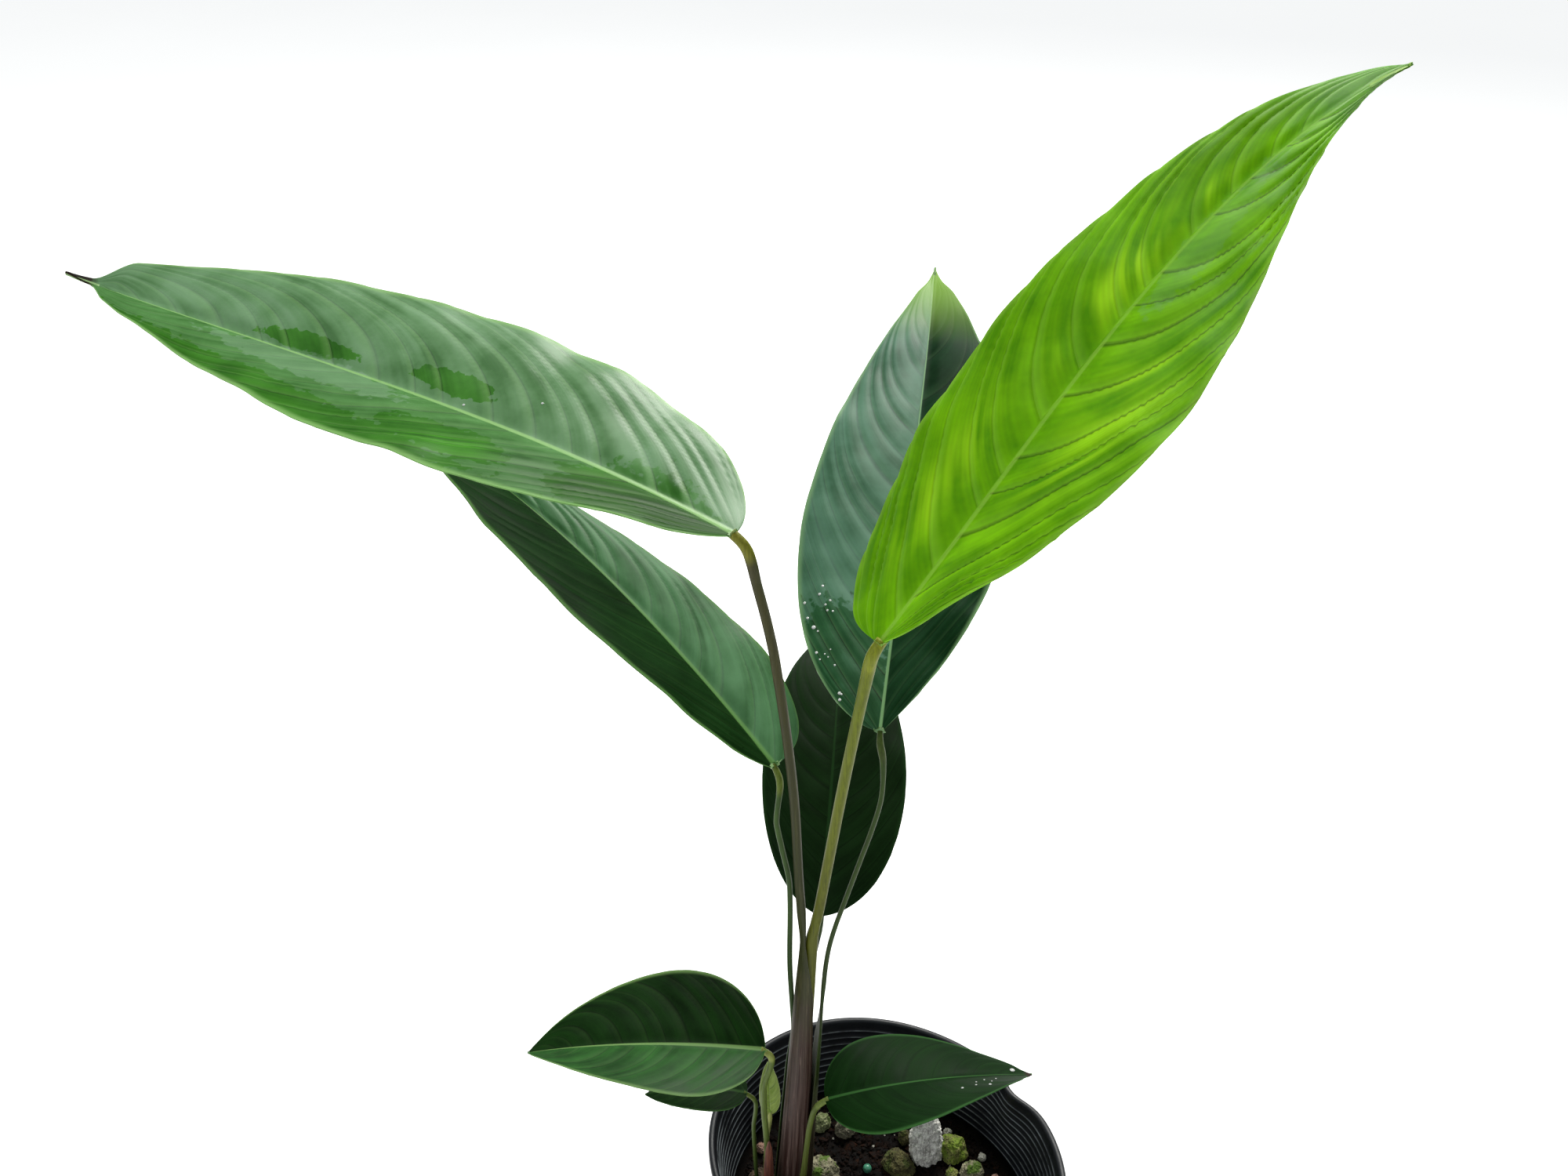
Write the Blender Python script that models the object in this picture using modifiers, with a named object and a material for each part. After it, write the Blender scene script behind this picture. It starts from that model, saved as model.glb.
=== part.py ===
"""A potted calathea: one leafy shoot and two side shoots in a thin round nursery pot.

Units are metres, +Z is up, and the origin is the centre of the pot's underside. Each leaf is a
blade on a petiole, and the petiole's foot widens into a sheath that wraps the younger stalks
inside it. Heights and places on the plant are counted from the crown, the point where the main
shoot leaves the soil.
"""

import math
import random

import bmesh
import bpy
from mathutils import Matrix, Vector

# ---- Driving dimensions ----------------------------------------------------------------------

GAP = 0.0003                      # clearance between two pieces that touch

POT_HEIGHT = 0.140
POT_BASE_RADIUS = 0.058
POT_RIM_RADIUS = 0.0785
POT_WALL = 0.0012
POT_FLOOR = 0.0020
POT_HEEL = 0.004                  # height of the rounded step at the foot of the wall
LIP_WIDTH = 0.0016                # how far the lip stands out from the wall
LIP_HEIGHT = 0.005
OVAL_DEPTH = 0.005                # the soft rim is squeezed out of round by this much
OVAL_AZIMUTH = math.radians(140)
CREASE_DEPTH = 0.0045             # and is pushed in at one place
CREASE_AZIMUTH = math.radians(28)
CREASE_SPREAD = math.radians(8)
DRAIN_COUNT = 6
DRAIN_RADIUS = 0.0045
DRAIN_CIRCLE_RADIUS = 0.040
TURN_STEPS = 60                   # facets around the pot and the soil

SOIL_BELOW_RIM = 0.040
SOIL_CLEARANCE = 0.0007           # between the soil and the wall, both of them faceted
SOIL_SHOULDER = 0.003             # the soil falls away a little where it meets the wall

CROWN_AZIMUTH = 190               # the main shoot leaves the soil on this side of the pot
CROWN_TO_WALL = 0.0239            # and this far in from the wall, at the depth of its foot
STALK_SINK = 0.015                # the stalks end this deep in the soil, on the rhizome
SHOOT_LEAN = 0.047                # sideways run of the main shoot for each metre of height
SHOOT_TOP = 0.186                 # the outermost full sheath ends at this height

CORE_FOOT_RADIUS = 0.0046         # the youngest stalk, in the middle of the shoot
CORE_TOP_RADIUS = 0.0026
WRAP_FOOT = 0.0026                # thickness of the sheath that wraps the youngest stalk
WRAP_TOP = 0.0020
OUTER_FOOT = 0.0015               # thickness of the outer sheaths
OUTER_TOP = 0.0014

RHIZOME_RADIUS = 0.0060

BLADE_THICKNESS = 0.0008
BLADE_ROWS = 18
BLADE_COLUMNS = 6
BLADE_STALK_HALF_WIDTH = 0.0012   # half width where the blade meets its petiole
BLADE_POINT_HALF_WIDTH = 0.0005

SECTION_STEPS = 7                 # facets on each face of a stalk
WIDE_SECTION_STEPS = 11           # the same where the sheath wraps most of the way round
SECTION_REACH = 0.97              # share of the oval's width that its corners use
ROUND_BEND = 0.05                 # bend of a round stalk's section, in stalk radii: nearly none
STALK_SPACING = 0.013             # between rings on the free stalk
JOINT_SPACING = 0.004             # and on its swollen joint
SHEATH_SHARES = (0.3, 0.6, 0.85, 1.0)   # of the sheath's height, where it has rings
CLOSING_POWER = 4                 # the higher, the later a sheath closes to a round stalk
JOINT_LEAD = 1.5                  # straight run under the blade, in joint radii
JOINT_POWER = 0.7                 # the lower, the blunter the joint's swelling
NECK_SHARE = 0.6                  # of its thinning that a side stalk has done half way up
FOOT_SWELL = 0.8                  # share of the foot's swelling that its free stalk starts with
SCALE_SHARES = (-0.2, 0.0, 0.25, 0.5, 0.75, 0.92, 1.0)

STONE_SINK_SHARE = 0.35           # stones are cut flat below this share of their height
STONE_LEAST_RADIUS = 0.84         # corners are drawn in at random, as far as this
SEED = 7

MERGE_DISTANCE = 0.00001
SHARP_ANGLE = math.radians(40)
CUTTER_STEPS = 20
CUTTER_STAGGER = 0.00007          # so that no two cutters that overlap end on the same level
CAPSULE_STEPS = (16, 8)

# Blades. base: from the crown. heading, elevation: compass and climb of the midrib in degrees at
# the base, the middle and the tip. roll: tilt of the blade about its midrib at base and tip.
# fold: rise of each half from the midrib. arch: how much each half curves back down. skew: share
# by which the left half is wider than the mean. left, right: exponents of each half's outline at
# the base and at the tip.
BLADES = {
    "upper_left": dict(
        base=(-0.0187, 0.000, 0.376), length=0.292, width=0.095, heading=(147, 155, 162),
        elevation=(11, 7, 12), roll=(2, -11), fold=19, arch=16, skew=-0.03,
        left=(0.80, 1.18), right=(0.52, 0.76)),
    "upper_right": dict(
        base=(0.0293, -0.019, 0.345), length=0.290, width=0.095, heading=(38, 39, 29),
        elevation=(39, 35, 13), roll=(-23, 24), fold=11, arch=14, skew=-0.03,
        left=(0.33, 0.92), right=(0.92, 1.85)),
    "back": dict(
        base=(0.0333, 0.011, 0.284), length=0.251, width=0.085, heading=(81, 81, 83),
        elevation=(24, 22, 18), roll=(-1, 2), fold=11, arch=21, skew=0.0,
        left=(0.61, 1.07), right=(0.95, 1.09)),
    "mid_left": dict(
        base=(-0.0057, 0.011, 0.267), length=0.211, width=0.066, heading=(139, 141, 146),
        elevation=(34, 24, 11), roll=(11, 4), fold=21, arch=15, skew=0.10,
        left=(0.73, 0.89), right=(0.37, 1.45)),
    "inner": dict(
        base=(0.0133, 0.031, 0.169), length=0.149, width=0.064, heading=(83, 85, 86),
        elevation=(37, 22, 7), roll=(0, 1), fold=10, arch=10, skew=-0.03,
        left=(0.58, 0.73), right=(0.52, 0.80)),
    "lower_left": dict(
        base=(-0.0107, -0.009, 0.131), length=0.099, width=0.065, heading=(177, 180, 184),
        elevation=(5, -1, -7), roll=(-6, 9), fold=13, arch=5, skew=-0.09,
        left=(0.51, 0.95), right=(0.55, 0.87)),
    "lower_right": dict(
        base=(0.0153, -0.009, 0.099), length=0.091, width=0.058, heading=(9, 7, 5),
        elevation=(12, 1, -7), roll=(1, -28), fold=10, arch=8, skew=0.01,
        left=(0.51, 0.85), right=(0.49, 0.90)),
    "small": dict(
        base=(-0.0185, -0.0015, 0.094), length=0.045, width=0.026, heading=(172, 178, 184),
        elevation=(6, -4, -14), roll=(0, 0), fold=10, arch=8, skew=0.0,
        left=(0.50, 0.90), right=(0.50, 0.90)),
    "young": dict(
        base=(-0.0086, 0.0002, 0.078), length=0.028, width=0.010, heading=(100, 98, 96),
        elevation=(84, 78, 72), roll=(0, 0), fold=32, arch=10, skew=0.0,
        left=(0.55, 0.80), right=(0.55, 0.80)),
}

# Petioles of the main shoot. azimuth: the side of the shoot its sheath sits on. reach: half the
# angle its sheath covers at the foot. sheath_top: where the sheath has closed to a round stalk.
# via: points on the free stalk, from the crown. radius: of the free stalk, at its foot and head.
# pulvinus: radius and length of the swollen joint under the blade.
MAIN_PETIOLES = {
    "upper_right": dict(
        ring="core", azimuth=20, reach=0, sheath_top=0.186, radius=(0.0021, 0.0020),
        via=[(0.0112, -0.002, 0.204), (0.0193, -0.010, 0.2766), (0.0262, -0.018, 0.334)],
        pulvinus=(0.0025, 0.020)),
    "upper_left": dict(
        ring="wrap", azimuth=200, reach=132, sheath_top=0.186, radius=(0.0018, 0.0017),
        via=[(0.0035, 0.0, 0.218), (0.0008, 0.0, 0.268), (-0.0062, 0.0, 0.329),
             (-0.0117, 0.0, 0.3565)],
        pulvinus=(0.0020, 0.020)),
    "back": dict(
        ring="outer", azimuth=8, reach=50, sheath_top=0.148, radius=(0.0010, 0.0009),
        via=[(0.0159, 0.001, 0.1815), (0.0240, 0.001, 0.2162), (0.0340, 0.003, 0.256),
             (0.0345, 0.006, 0.274)],
        pulvinus=(0.0018, 0.014)),
    "mid_left": dict(
        ring="outer", azimuth=132, reach=40, sheath_top=0.128, radius=(0.0011, 0.0011),
        via=[(0.0000, 0.005, 0.166), (-0.0005, 0.004, 0.216), (-0.0052, 0.005, 0.243)],
        pulvinus=(0.0016, 0.012)),
    "inner": dict(
        ring="outer", azimuth=75, reach=13, sheath_top=0.095, radius=(0.0014, 0.0014),
        via=[(0.0070, 0.0150, 0.139)], pulvinus=(0.0018, 0.012)),
}

# Stalks of the side shoots. foot: its side of the main shoot, and the gap between the two. via:
# points on the stalk, from its foot. neck: height by which the swollen foot has thinned.
SIDE_PETIOLES = {
    "lower_left": dict(
        foot=(207, 0.0012), foot_radius=0.0025, neck=0.045, radius=(0.0013, 0.0012),
        via=[(0.0001, -0.0010, 0.060), (-0.0012, -0.0033, 0.105)], pulvinus=(0.0016, 0.010)),
    "small": dict(
        foot=(186, 0.0056), foot_radius=0.0013, neck=0.030, radius=(0.0009, 0.0008),
        via=[(-0.0016, 0.0002, 0.070)], pulvinus=(0.0011, 0.006)),
    "young": dict(
        foot=(163, 0.0030), foot_radius=0.0014, neck=0.030, radius=(0.0010, 0.0009),
        via=[(0.0012, -0.0016, 0.058)], pulvinus=(0.0012, 0.005)),
    "lower_right": dict(
        foot=(-68, 0.0013), foot_radius=0.0031, neck=0.060, radius=(0.0012, 0.0012),
        via=[(0.0020, -0.0003, 0.055), (0.0039, 0.0002, 0.0804)], pulvinus=(0.0015, 0.008)),
}

# The dry scale leaf that hugs the foot of the left side shoot. lean: how far it stands off, for
# each metre of height.
SCALE_LEAF = dict(azimuth=-78, reach=62, thickness=0.0006, top=0.072, lean=0.022)

# Pumice and other lumps on the soil. azimuth: round the pot in degrees. share: how far out, as a
# share of the way to the wall. size: length, width and height.
STONES = {
    "stone_pale_back": (119, 1.00, (0.0065, 0.0055, 0.0050)),
    "stone_green_back": (122, 0.84, (0.0095, 0.0080, 0.0070)),
    "stone_pitted": (111, 0.73, (0.0110, 0.0090, 0.0075)),
    "stone_mossy": (150, 0.54, (0.0160, 0.0130, 0.0100)),
    "stone_olive": (63, 0.44, (0.0145, 0.0115, 0.0085)),
    "stone_olive_small": (70, 0.64, (0.0060, 0.0055, 0.0080)),
    "stone_fibrous": (50, 0.64, (0.0130, 0.0120, 0.0290)),
    "stone_moss_right": (38, 0.83, (0.0125, 0.0120, 0.0115)),
    "stone_yellow": (25, 0.65, (0.0065, 0.0055, 0.0040)),
    "stone_moss_low": (20, 0.82, (0.0100, 0.0095, 0.0085)),
    "stone_white": (27, 0.94, (0.0038, 0.0035, 0.0034)),
    "stone_pink": (14, 0.93, (0.0040, 0.0038, 0.0036)),
    "stone_white_back": (49, 0.90, (0.0042, 0.0038, 0.0034)),
    "stone_brown_left": (168, 0.98, (0.0125, 0.0095, 0.0070)),
    "stone_pink_left": (152, 1.00, (0.0050, 0.0045, 0.0045)),
    "stone_front_pale": (-58, 0.60, (0.0140, 0.0115, 0.0090)),
    "stone_front_olive": (-84, 0.86, (0.0120, 0.0100, 0.0080)),
    "stone_front_moss": (-22, 0.62, (0.0130, 0.0110, 0.0085)),
    "stone_front_small": (-40, 0.90, (0.0075, 0.0065, 0.0055)),
    "stone_front_grey": (-140, 0.92, (0.0085, 0.0070, 0.0060)),
}
BEAD_AZIMUTH = 108
BEAD_SHARE = 0.31
BEAD_RADIUS = 0.0022
SETTLE_ROUNDS = 60                # passes that push touching lumps apart

COLOURS = {
    "pot": ((0.010, 0.012, 0.014), 0.5),
    "soil": ((0.020, 0.014, 0.011), 0.95),
    "rhizome": ((0.22, 0.14, 0.07), 0.8),
    "blade": ((0.045, 0.19, 0.03), 0.4),
    "blade_light": ((0.13, 0.38, 0.01), 0.4),
    "petiole": ((0.10, 0.14, 0.02), 0.5),
    "sheath": ((0.055, 0.035, 0.03), 0.5),
    "scale_leaf": ((0.10, 0.02, 0.01), 0.6),
    "stone": ((0.34, 0.33, 0.20), 0.9),
    "stone_moss": ((0.14, 0.24, 0.03), 0.9),
    "bead": ((0.04, 0.22, 0.13), 0.35),
}

SOIL_TOP = POT_HEIGHT - SOIL_BELOW_RIM


# ---- Helpers ---------------------------------------------------------------------------------

def clear_scene():
    for item in list(bpy.data.objects):
        bpy.data.objects.remove(item, do_unlink=True)


def new_collection(name):
    collection = bpy.data.collections.new(name)
    bpy.context.scene.collection.children.link(collection)
    return collection


def make_material(name, colour, roughness):
    material = bpy.data.materials.new(name)
    material.use_nodes = True
    shader = material.node_tree.nodes["Principled BSDF"]
    shader.inputs["Base Color"].default_value = (*colour, 1.0)
    shader.inputs["Roughness"].default_value = roughness
    return material


def new_object(name, mesh, collection, finish=None):
    item = bpy.data.objects.new(name, mesh)
    collection.objects.link(item)
    if finish is not None:
        item.data.materials.append(make_material(name, *COLOURS[finish]))
    return item


def mesh_from_bmesh(name, bm):
    mesh = bpy.data.meshes.new(name)
    bm.to_mesh(mesh)
    bm.free()
    mesh.shade_smooth()
    mesh.set_sharp_from_angle(angle=SHARP_ANGLE)
    return mesh


def lerp(start, end, share):
    return start + (end - start) * share


def direction(heading, elevation):
    """A unit vector from a compass heading and a climb, both in degrees."""
    turn, climb = math.radians(heading), math.radians(elevation)
    return Vector((math.cos(climb) * math.cos(turn), math.cos(climb) * math.sin(turn),
                   math.sin(climb)))


def three_point(values, share):
    """The smooth curve through a value at the base, the middle and the tip."""
    first, middle, last = values
    return (first * (1 - share) * (1 - 2 * share) + middle * 4 * share * (1 - share)
            + last * share * (2 * share - 1))


def spline_point(points, span, share):
    """A point on the smooth curve through points, share of the way along one span."""
    start, end = points[span], points[span + 1]
    before = points[span - 1] if span else start
    after = points[span + 2] if span + 2 < len(points) else end
    length = (end - start).length
    leave = (end - before).normalized() * length
    arrive = (after - start).normalized() * length
    rest = 1 - share
    return (start * (1 + 2 * share) * rest ** 2 + leave * share * rest ** 2
            + end * (3 - 2 * share) * share ** 2 - arrive * rest * share ** 2)


def turned(name, profile, steps):
    """Turn a profile of (radius, height) points about Z, with the Screw modifier, to a mesh."""
    mesh = bpy.data.meshes.new(name)
    corners = [(radius, 0.0, height) for radius, height in profile]
    mesh.from_pydata(corners, [(i, i + 1) for i in range(len(corners) - 1)], [])
    item = bpy.data.objects.new(name, mesh)
    bpy.context.scene.collection.objects.link(item)
    screw = item.modifiers.new("turn", "SCREW")
    screw.steps = steps
    screw.render_steps = steps
    screw.use_merge_vertices = True
    screw.merge_threshold = MERGE_DISTANCE
    screw.use_smooth_shade = True
    bpy.context.view_layer.update()
    graph = bpy.context.evaluated_depsgraph_get()
    solid = bpy.data.meshes.new_from_object(item.evaluated_get(graph))
    bpy.data.objects.remove(item, do_unlink=True)
    bm = bmesh.new()
    bm.from_mesh(solid)
    bmesh.ops.remove_doubles(bm, verts=bm.verts, dist=MERGE_DISTANCE)
    bmesh.ops.recalc_face_normals(bm, faces=bm.faces)
    bm.to_mesh(solid)
    bm.free()
    return solid


def cut(target, cutter):
    boolean = target.modifiers.new("cut_" + cutter.name, "BOOLEAN")
    boolean.operation = "DIFFERENCE"
    boolean.solver = "EXACT"
    boolean.object = cutter
    cutter.hide_render = True
    cutter.display_type = "WIRE"


def cylinder_cutter(name, collection, radius, low, high, centre):
    bm = bmesh.new()
    place = Matrix.Translation((centre[0], centre[1], (low + high) / 2))
    bmesh.ops.create_cone(bm, cap_ends=True, segments=CUTTER_STEPS, radius1=radius,
                          radius2=radius, depth=high - low, matrix=place)
    return new_object(name, mesh_from_bmesh(name, bm), collection)


# ---- Pot and soil ----------------------------------------------------------------------------

def wall_radius(height):
    """Outer radius of the wall where it is round."""
    return lerp(POT_BASE_RADIUS, POT_RIM_RADIUS, height / POT_HEIGHT)


def soil_radius(height):
    return wall_radius(height) - POT_WALL - SOIL_CLEARANCE


CROWN = direction(CROWN_AZIMUTH, 0).xy * (soil_radius(SOIL_TOP - STALK_SINK) - CROWN_TO_WALL)
CROWN_POINT = Vector((CROWN.x, CROWN.y, SOIL_TOP))


def bulge(azimuth, height):
    """How far the soft wall stands out of round. The crease fades out at the level of the soil."""
    oval = OVAL_DEPTH * math.cos(2 * (azimuth - OVAL_AZIMUTH)) * height / POT_HEIGHT
    turn = (azimuth - CREASE_AZIMUTH + math.pi) % (2 * math.pi) - math.pi
    rise = min(max((height - SOIL_TOP) / SOIL_BELOW_RIM, 0.0), 1.0)
    return oval - CREASE_DEPTH * math.exp(-(turn / CREASE_SPREAD) ** 2) * rise


def push_out_of_round(mesh):
    for vertex in mesh.vertices:
        x, y, z = vertex.co
        radius = math.hypot(x, y)
        if radius > POT_BASE_RADIUS / 2:
            stretch = 1 + bulge(math.atan2(y, x), z) / radius
            vertex.co = (x * stretch, y * stretch, z)


def build_pot(parts, cutters):
    lip_start = POT_HEIGHT - LIP_HEIGHT
    outside = [(wall_radius(POT_HEIGHT) + LIP_WIDTH, POT_HEIGHT),
               (wall_radius(lip_start) + LIP_WIDTH, lip_start),
               (wall_radius(lip_start), lip_start)]
    outside += [(wall_radius(SOIL_TOP), SOIL_TOP),
                (wall_radius(POT_HEEL), POT_HEEL),
                (POT_BASE_RADIUS - POT_HEEL, 0.0),
                (0.0, 0.0)]
    inside = [(0.0, POT_FLOOR),
              (POT_BASE_RADIUS - POT_HEEL - POT_WALL, POT_FLOOR),
              (wall_radius(POT_FLOOR + POT_HEEL) - POT_WALL, POT_FLOOR + POT_HEEL),
              (wall_radius(SOIL_TOP) - POT_WALL, SOIL_TOP),
              (wall_radius(POT_HEIGHT) - POT_WALL, POT_HEIGHT)]
    mesh = turned("pot", outside + inside + outside[:1], TURN_STEPS)
    push_out_of_round(mesh)
    pot = new_object("pot", mesh, parts, "pot")
    for index in range(DRAIN_COUNT):
        azimuth = 2 * math.pi * index / DRAIN_COUNT
        centre = (DRAIN_CIRCLE_RADIUS * math.cos(azimuth), DRAIN_CIRCLE_RADIUS * math.sin(azimuth))
        cut(pot, cylinder_cutter(f"drain_cutter_{index + 1}", cutters, DRAIN_RADIUS,
                                 -POT_FLOOR, 2 * POT_FLOOR, centre))


def rhizome_ends():
    feet = [CROWN + side_foot(values) for values in SIDE_PETIOLES.values()]
    return min(feet, key=lambda foot: foot.x), max(feet, key=lambda foot: foot.x)


def capsule(radius):
    """A round-ended bar from one side shoot to the other, whose top is where the stalks end."""
    start, end = rhizome_ends()
    top = SOIL_TOP - STALK_SINK - GAP
    bm = bmesh.new()
    bmesh.ops.create_uvsphere(bm, u_segments=CAPSULE_STEPS[0], v_segments=CAPSULE_STEPS[1],
                              radius=radius)
    run = end - start
    for vertex in bm.verts:
        vertex.co.x += run.length if vertex.co.x > 0 else 0.0
    turn = Matrix.Rotation(math.atan2(run.y, run.x), 4, "Z")
    place = Matrix.Translation((start.x, start.y, top - RHIZOME_RADIUS))
    bm.transform(place @ turn)
    return bm


def build_rhizome(parts):
    new_object("rhizome", mesh_from_bmesh("rhizome", capsule(RHIZOME_RADIUS)), parts, "rhizome")


def build_soil(parts, cutters):
    low = POT_FLOOR + GAP
    profile = [(0.0, SOIL_TOP),
               (soil_radius(SOIL_TOP) - 2 * SOIL_SHOULDER, SOIL_TOP),
               (soil_radius(SOIL_TOP - SOIL_SHOULDER), SOIL_TOP - SOIL_SHOULDER),
               (soil_radius(POT_FLOOR + POT_HEEL + GAP), POT_FLOOR + POT_HEEL + GAP),
               (POT_BASE_RADIUS - POT_HEEL - POT_WALL - GAP, low),
               (0.0, low)]
    mesh = turned("soil", profile, TURN_STEPS)
    push_out_of_round(mesh)
    soil = new_object("soil", mesh, parts, "soil")
    deep, high = SOIL_TOP - STALK_SINK - 2 * GAP, SOIL_TOP + STALK_SINK
    grown = capsule(RHIZOME_RADIUS + GAP)
    cut(soil, new_object("rhizome_cutter", mesh_from_bmesh("rhizome_cutter", grown), cutters))
    shoot = ring_radius("outer", 0.0) + OUTER_FOOT / 2 + 3 * GAP
    cut(soil, cylinder_cutter("shoot_cutter", cutters, shoot, deep, high, CROWN))
    for name, values in SIDE_PETIOLES.items():
        centre = CROWN + side_foot(values)
        deep -= CUTTER_STAGGER
        radius = values["foot_radius"] + 2 * GAP
        if name == "lower_left":
            radius += SCALE_LEAF["thickness"] + GAP
        cut(soil, cylinder_cutter(f"{name}_cutter", cutters, radius, deep, high, centre))


# ---- Stalks ----------------------------------------------------------------------------------

def height_share(height):
    return min(max(height / SHOOT_TOP, 0.0), 1.0)


def core_radius(height):
    return lerp(CORE_FOOT_RADIUS, CORE_TOP_RADIUS, height_share(height))


def ring_thickness(ring, height):
    share = height_share(height)
    if ring == "wrap":
        return lerp(WRAP_FOOT, WRAP_TOP, share)
    return lerp(OUTER_FOOT, OUTER_TOP, share)


def ring_radius(ring, height):
    """Distance from the shoot's axis to the middle of a sheath's thickness."""
    if ring == "core":
        return 0.0
    inner = core_radius(height) + GAP
    if ring == "outer":
        inner += ring_thickness("wrap", height) + GAP
    return inner + ring_thickness(ring, height) / 2


def side_foot(values):
    """Where a side shoot's stalk leaves the soil, from the crown, in plan."""
    azimuth, clearance = values["foot"]
    wrap_face = ring_radius("wrap", 0.0) + WRAP_FOOT / 2
    return direction(azimuth, 0).xy * (wrap_face + clearance + values["foot_radius"])


def shoot_axis(height):
    return Vector((SHOOT_LEAN * max(height, 0.0), 0.0, height))


def bent_section(half_width, half_thickness, curvature, steps):
    """Corners of a flat oval bent round an axis, as (sideways, outward) from its middle.

    The inner face is moved out by what its flat facets cut off, so that it clears what it wraps.
    """
    reach = half_width * curvature
    facet = math.cos(reach / steps)
    corners = []
    for side in (1, -1):
        for index in range(steps + 1):
            across = side * (2 * index / steps - 1)
            bulge = math.sqrt(1 - (SECTION_REACH * across) ** 2)
            radius = 1 / curvature + side * half_thickness * bulge
            radius = radius if side > 0 else radius / facet
            corners.append((radius * math.sin(across * reach),
                            radius * math.cos(across * reach) - 1 / curvature))
    return corners


def loft(name, stations, outward, steps, aim=None):
    """Skin a stalk over stations of (middle, half width, half thickness, curvature).

    The last ring faces along aim, if one is given.
    """
    bm = bmesh.new()
    rings = []
    for index, (middle, half_width, half_thickness, curvature) in enumerate(stations):
        before = stations[max(index - 1, 0)][0]
        after = stations[min(index + 1, len(stations) - 1)][0]
        along = (after - before).normalized()
        if aim is not None and index == len(stations) - 1:
            along = aim
        outward = (outward - outward.dot(along) * along).normalized()
        sideways = along.cross(outward)
        rings.append([bm.verts.new(middle + sideways * across + outward * out)
                      for across, out in bent_section(half_width, half_thickness, curvature, steps)])
    count = len(rings[0])
    for lower, upper in zip(rings, rings[1:]):
        for index in range(count):
            following = (index + 1) % count
            bm.faces.new((lower[index], lower[following], upper[following], upper[index]))
    bm.faces.new(rings[0][::-1])
    bm.faces.new(rings[-1])
    bmesh.ops.recalc_face_normals(bm, faces=bm.faces)
    return mesh_from_bmesh(name, bm)


def free_stalk(start_points, via, values, blade):
    """Stations of the round stalk from the head of its sheath to the foot of its blade."""
    base = Vector(blade["base"])
    aim = direction(blade["heading"][0], blade["elevation"][0])
    pulvinus_radius, pulvinus_length = values["pulvinus"]
    route = start_points + via
    route += [base - aim * pulvinus_radius * JOINT_LEAD, base - aim * GAP]
    first, last = len(start_points) - 1, len(route) - 1
    stations = []
    for span in range(first, last):
        run = (route[span + 1] - route[span]).length
        spacing = STALK_SPACING if span < last - 2 else JOINT_SPACING
        count = max(2, round(run / spacing))
        for index in range(count):
            if span == first and index == 0:
                continue
            share = (span - first + index / count) / (last - first)
            radius = lerp(*values["radius"], share)
            point = spline_point(route, span, index / count)
            left = (base - point).length
            swell = math.sin(math.pi * min(left / pulvinus_length, 1.0)) ** JOINT_POWER
            radius = lerp(radius, pulvinus_radius, swell) if left < pulvinus_length else radius
            stations.append((point, radius))
    stations.append((route[-1], values["radius"][1]))
    return stations


def main_stalk(name):
    """Stations of a petiole of the main shoot: its sheath, then its free stalk."""
    values = MAIN_PETIOLES[name]
    ring = values["ring"]
    azimuth = math.radians(values["azimuth"])
    side = Vector((math.cos(azimuth), math.sin(azimuth), 0.0))
    foot_radius = values["radius"][0]
    heights = [-STALK_SINK, 0.0] + [values["sheath_top"] * share for share in SHEATH_SHARES]
    stations = []
    middles = []
    for height in heights:
        middle = shoot_axis(height) + side * ring_radius(ring, max(height, 0.0))
        share = max(height, 0.0) / values["sheath_top"]
        middles.append(middle)
        if ring == "core":
            radius = core_radius(height)
            stations.append((middle, radius, radius, ROUND_BEND / radius))
            continue
        curvature = 1 / ring_radius(ring, max(height, 0.0))
        closing = math.cos(math.pi / 2 * share ** CLOSING_POWER)
        half_width = lerp(foot_radius, math.radians(values["reach"]) / curvature, closing)
        thickness = ring_thickness(ring, max(height, 0.0)) / 2
        half_thickness = lerp(thickness, foot_radius, share ** CLOSING_POWER)
        stations.append((middle, half_width, min(half_thickness, thickness), curvature))
    route = [Vector(point) for point in values["via"]]
    for point, radius in free_stalk(middles[-2:], route, values, BLADES[name]):
        stations.append((point, radius, radius, ROUND_BEND / radius))
    return stations, side


def side_stalk(name):
    """Stations of a side shoot's stalk, whose swollen foot stands in the soil."""
    values = SIDE_PETIOLES[name]
    foot = side_foot(values).to_3d()
    stations = []
    middles = []
    for height, share in ((-STALK_SINK, 0.0), (0.0, 0.0), (values["neck"] / 2, NECK_SHARE)):
        radius = lerp(values["foot_radius"], values["radius"][0], share)
        middles.append(foot + Vector((0.0, 0.0, height)))
        stations.append((middles[-1], radius, radius, ROUND_BEND / radius))
    route = [foot + Vector(point) for point in values["via"]]
    for point, radius in free_stalk(middles[-2:], route, values, BLADES[name]):
        left = max(1 - point.z / values["neck"], 0.0)
        radius = max(radius, lerp(values["radius"][0], values["foot_radius"], FOOT_SWELL * left))
        stations.append((point, radius, radius, ROUND_BEND / radius))
    return stations, Vector((1.0, 0.0, 0.0))


def build_stalks(parts):
    for name in BLADES:
        if name in MAIN_PETIOLES:
            stations, side = main_stalk(name)
            steps = WIDE_SECTION_STEPS if MAIN_PETIOLES[name]["ring"] == "wrap" else SECTION_STEPS
            finish = "petiole" if MAIN_PETIOLES[name]["ring"] == "core" else "sheath"
        else:
            stations, side = side_stalk(name)
            steps, finish = SECTION_STEPS, "petiole"
        stations = [(CROWN_POINT + station[0], *station[1:]) for station in stations]
        aim = direction(BLADES[name]["heading"][0], BLADES[name]["elevation"][0])
        mesh = loft("petiole_" + name, stations, side, steps, aim)
        new_object("petiole_" + name, mesh, parts, finish)


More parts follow.
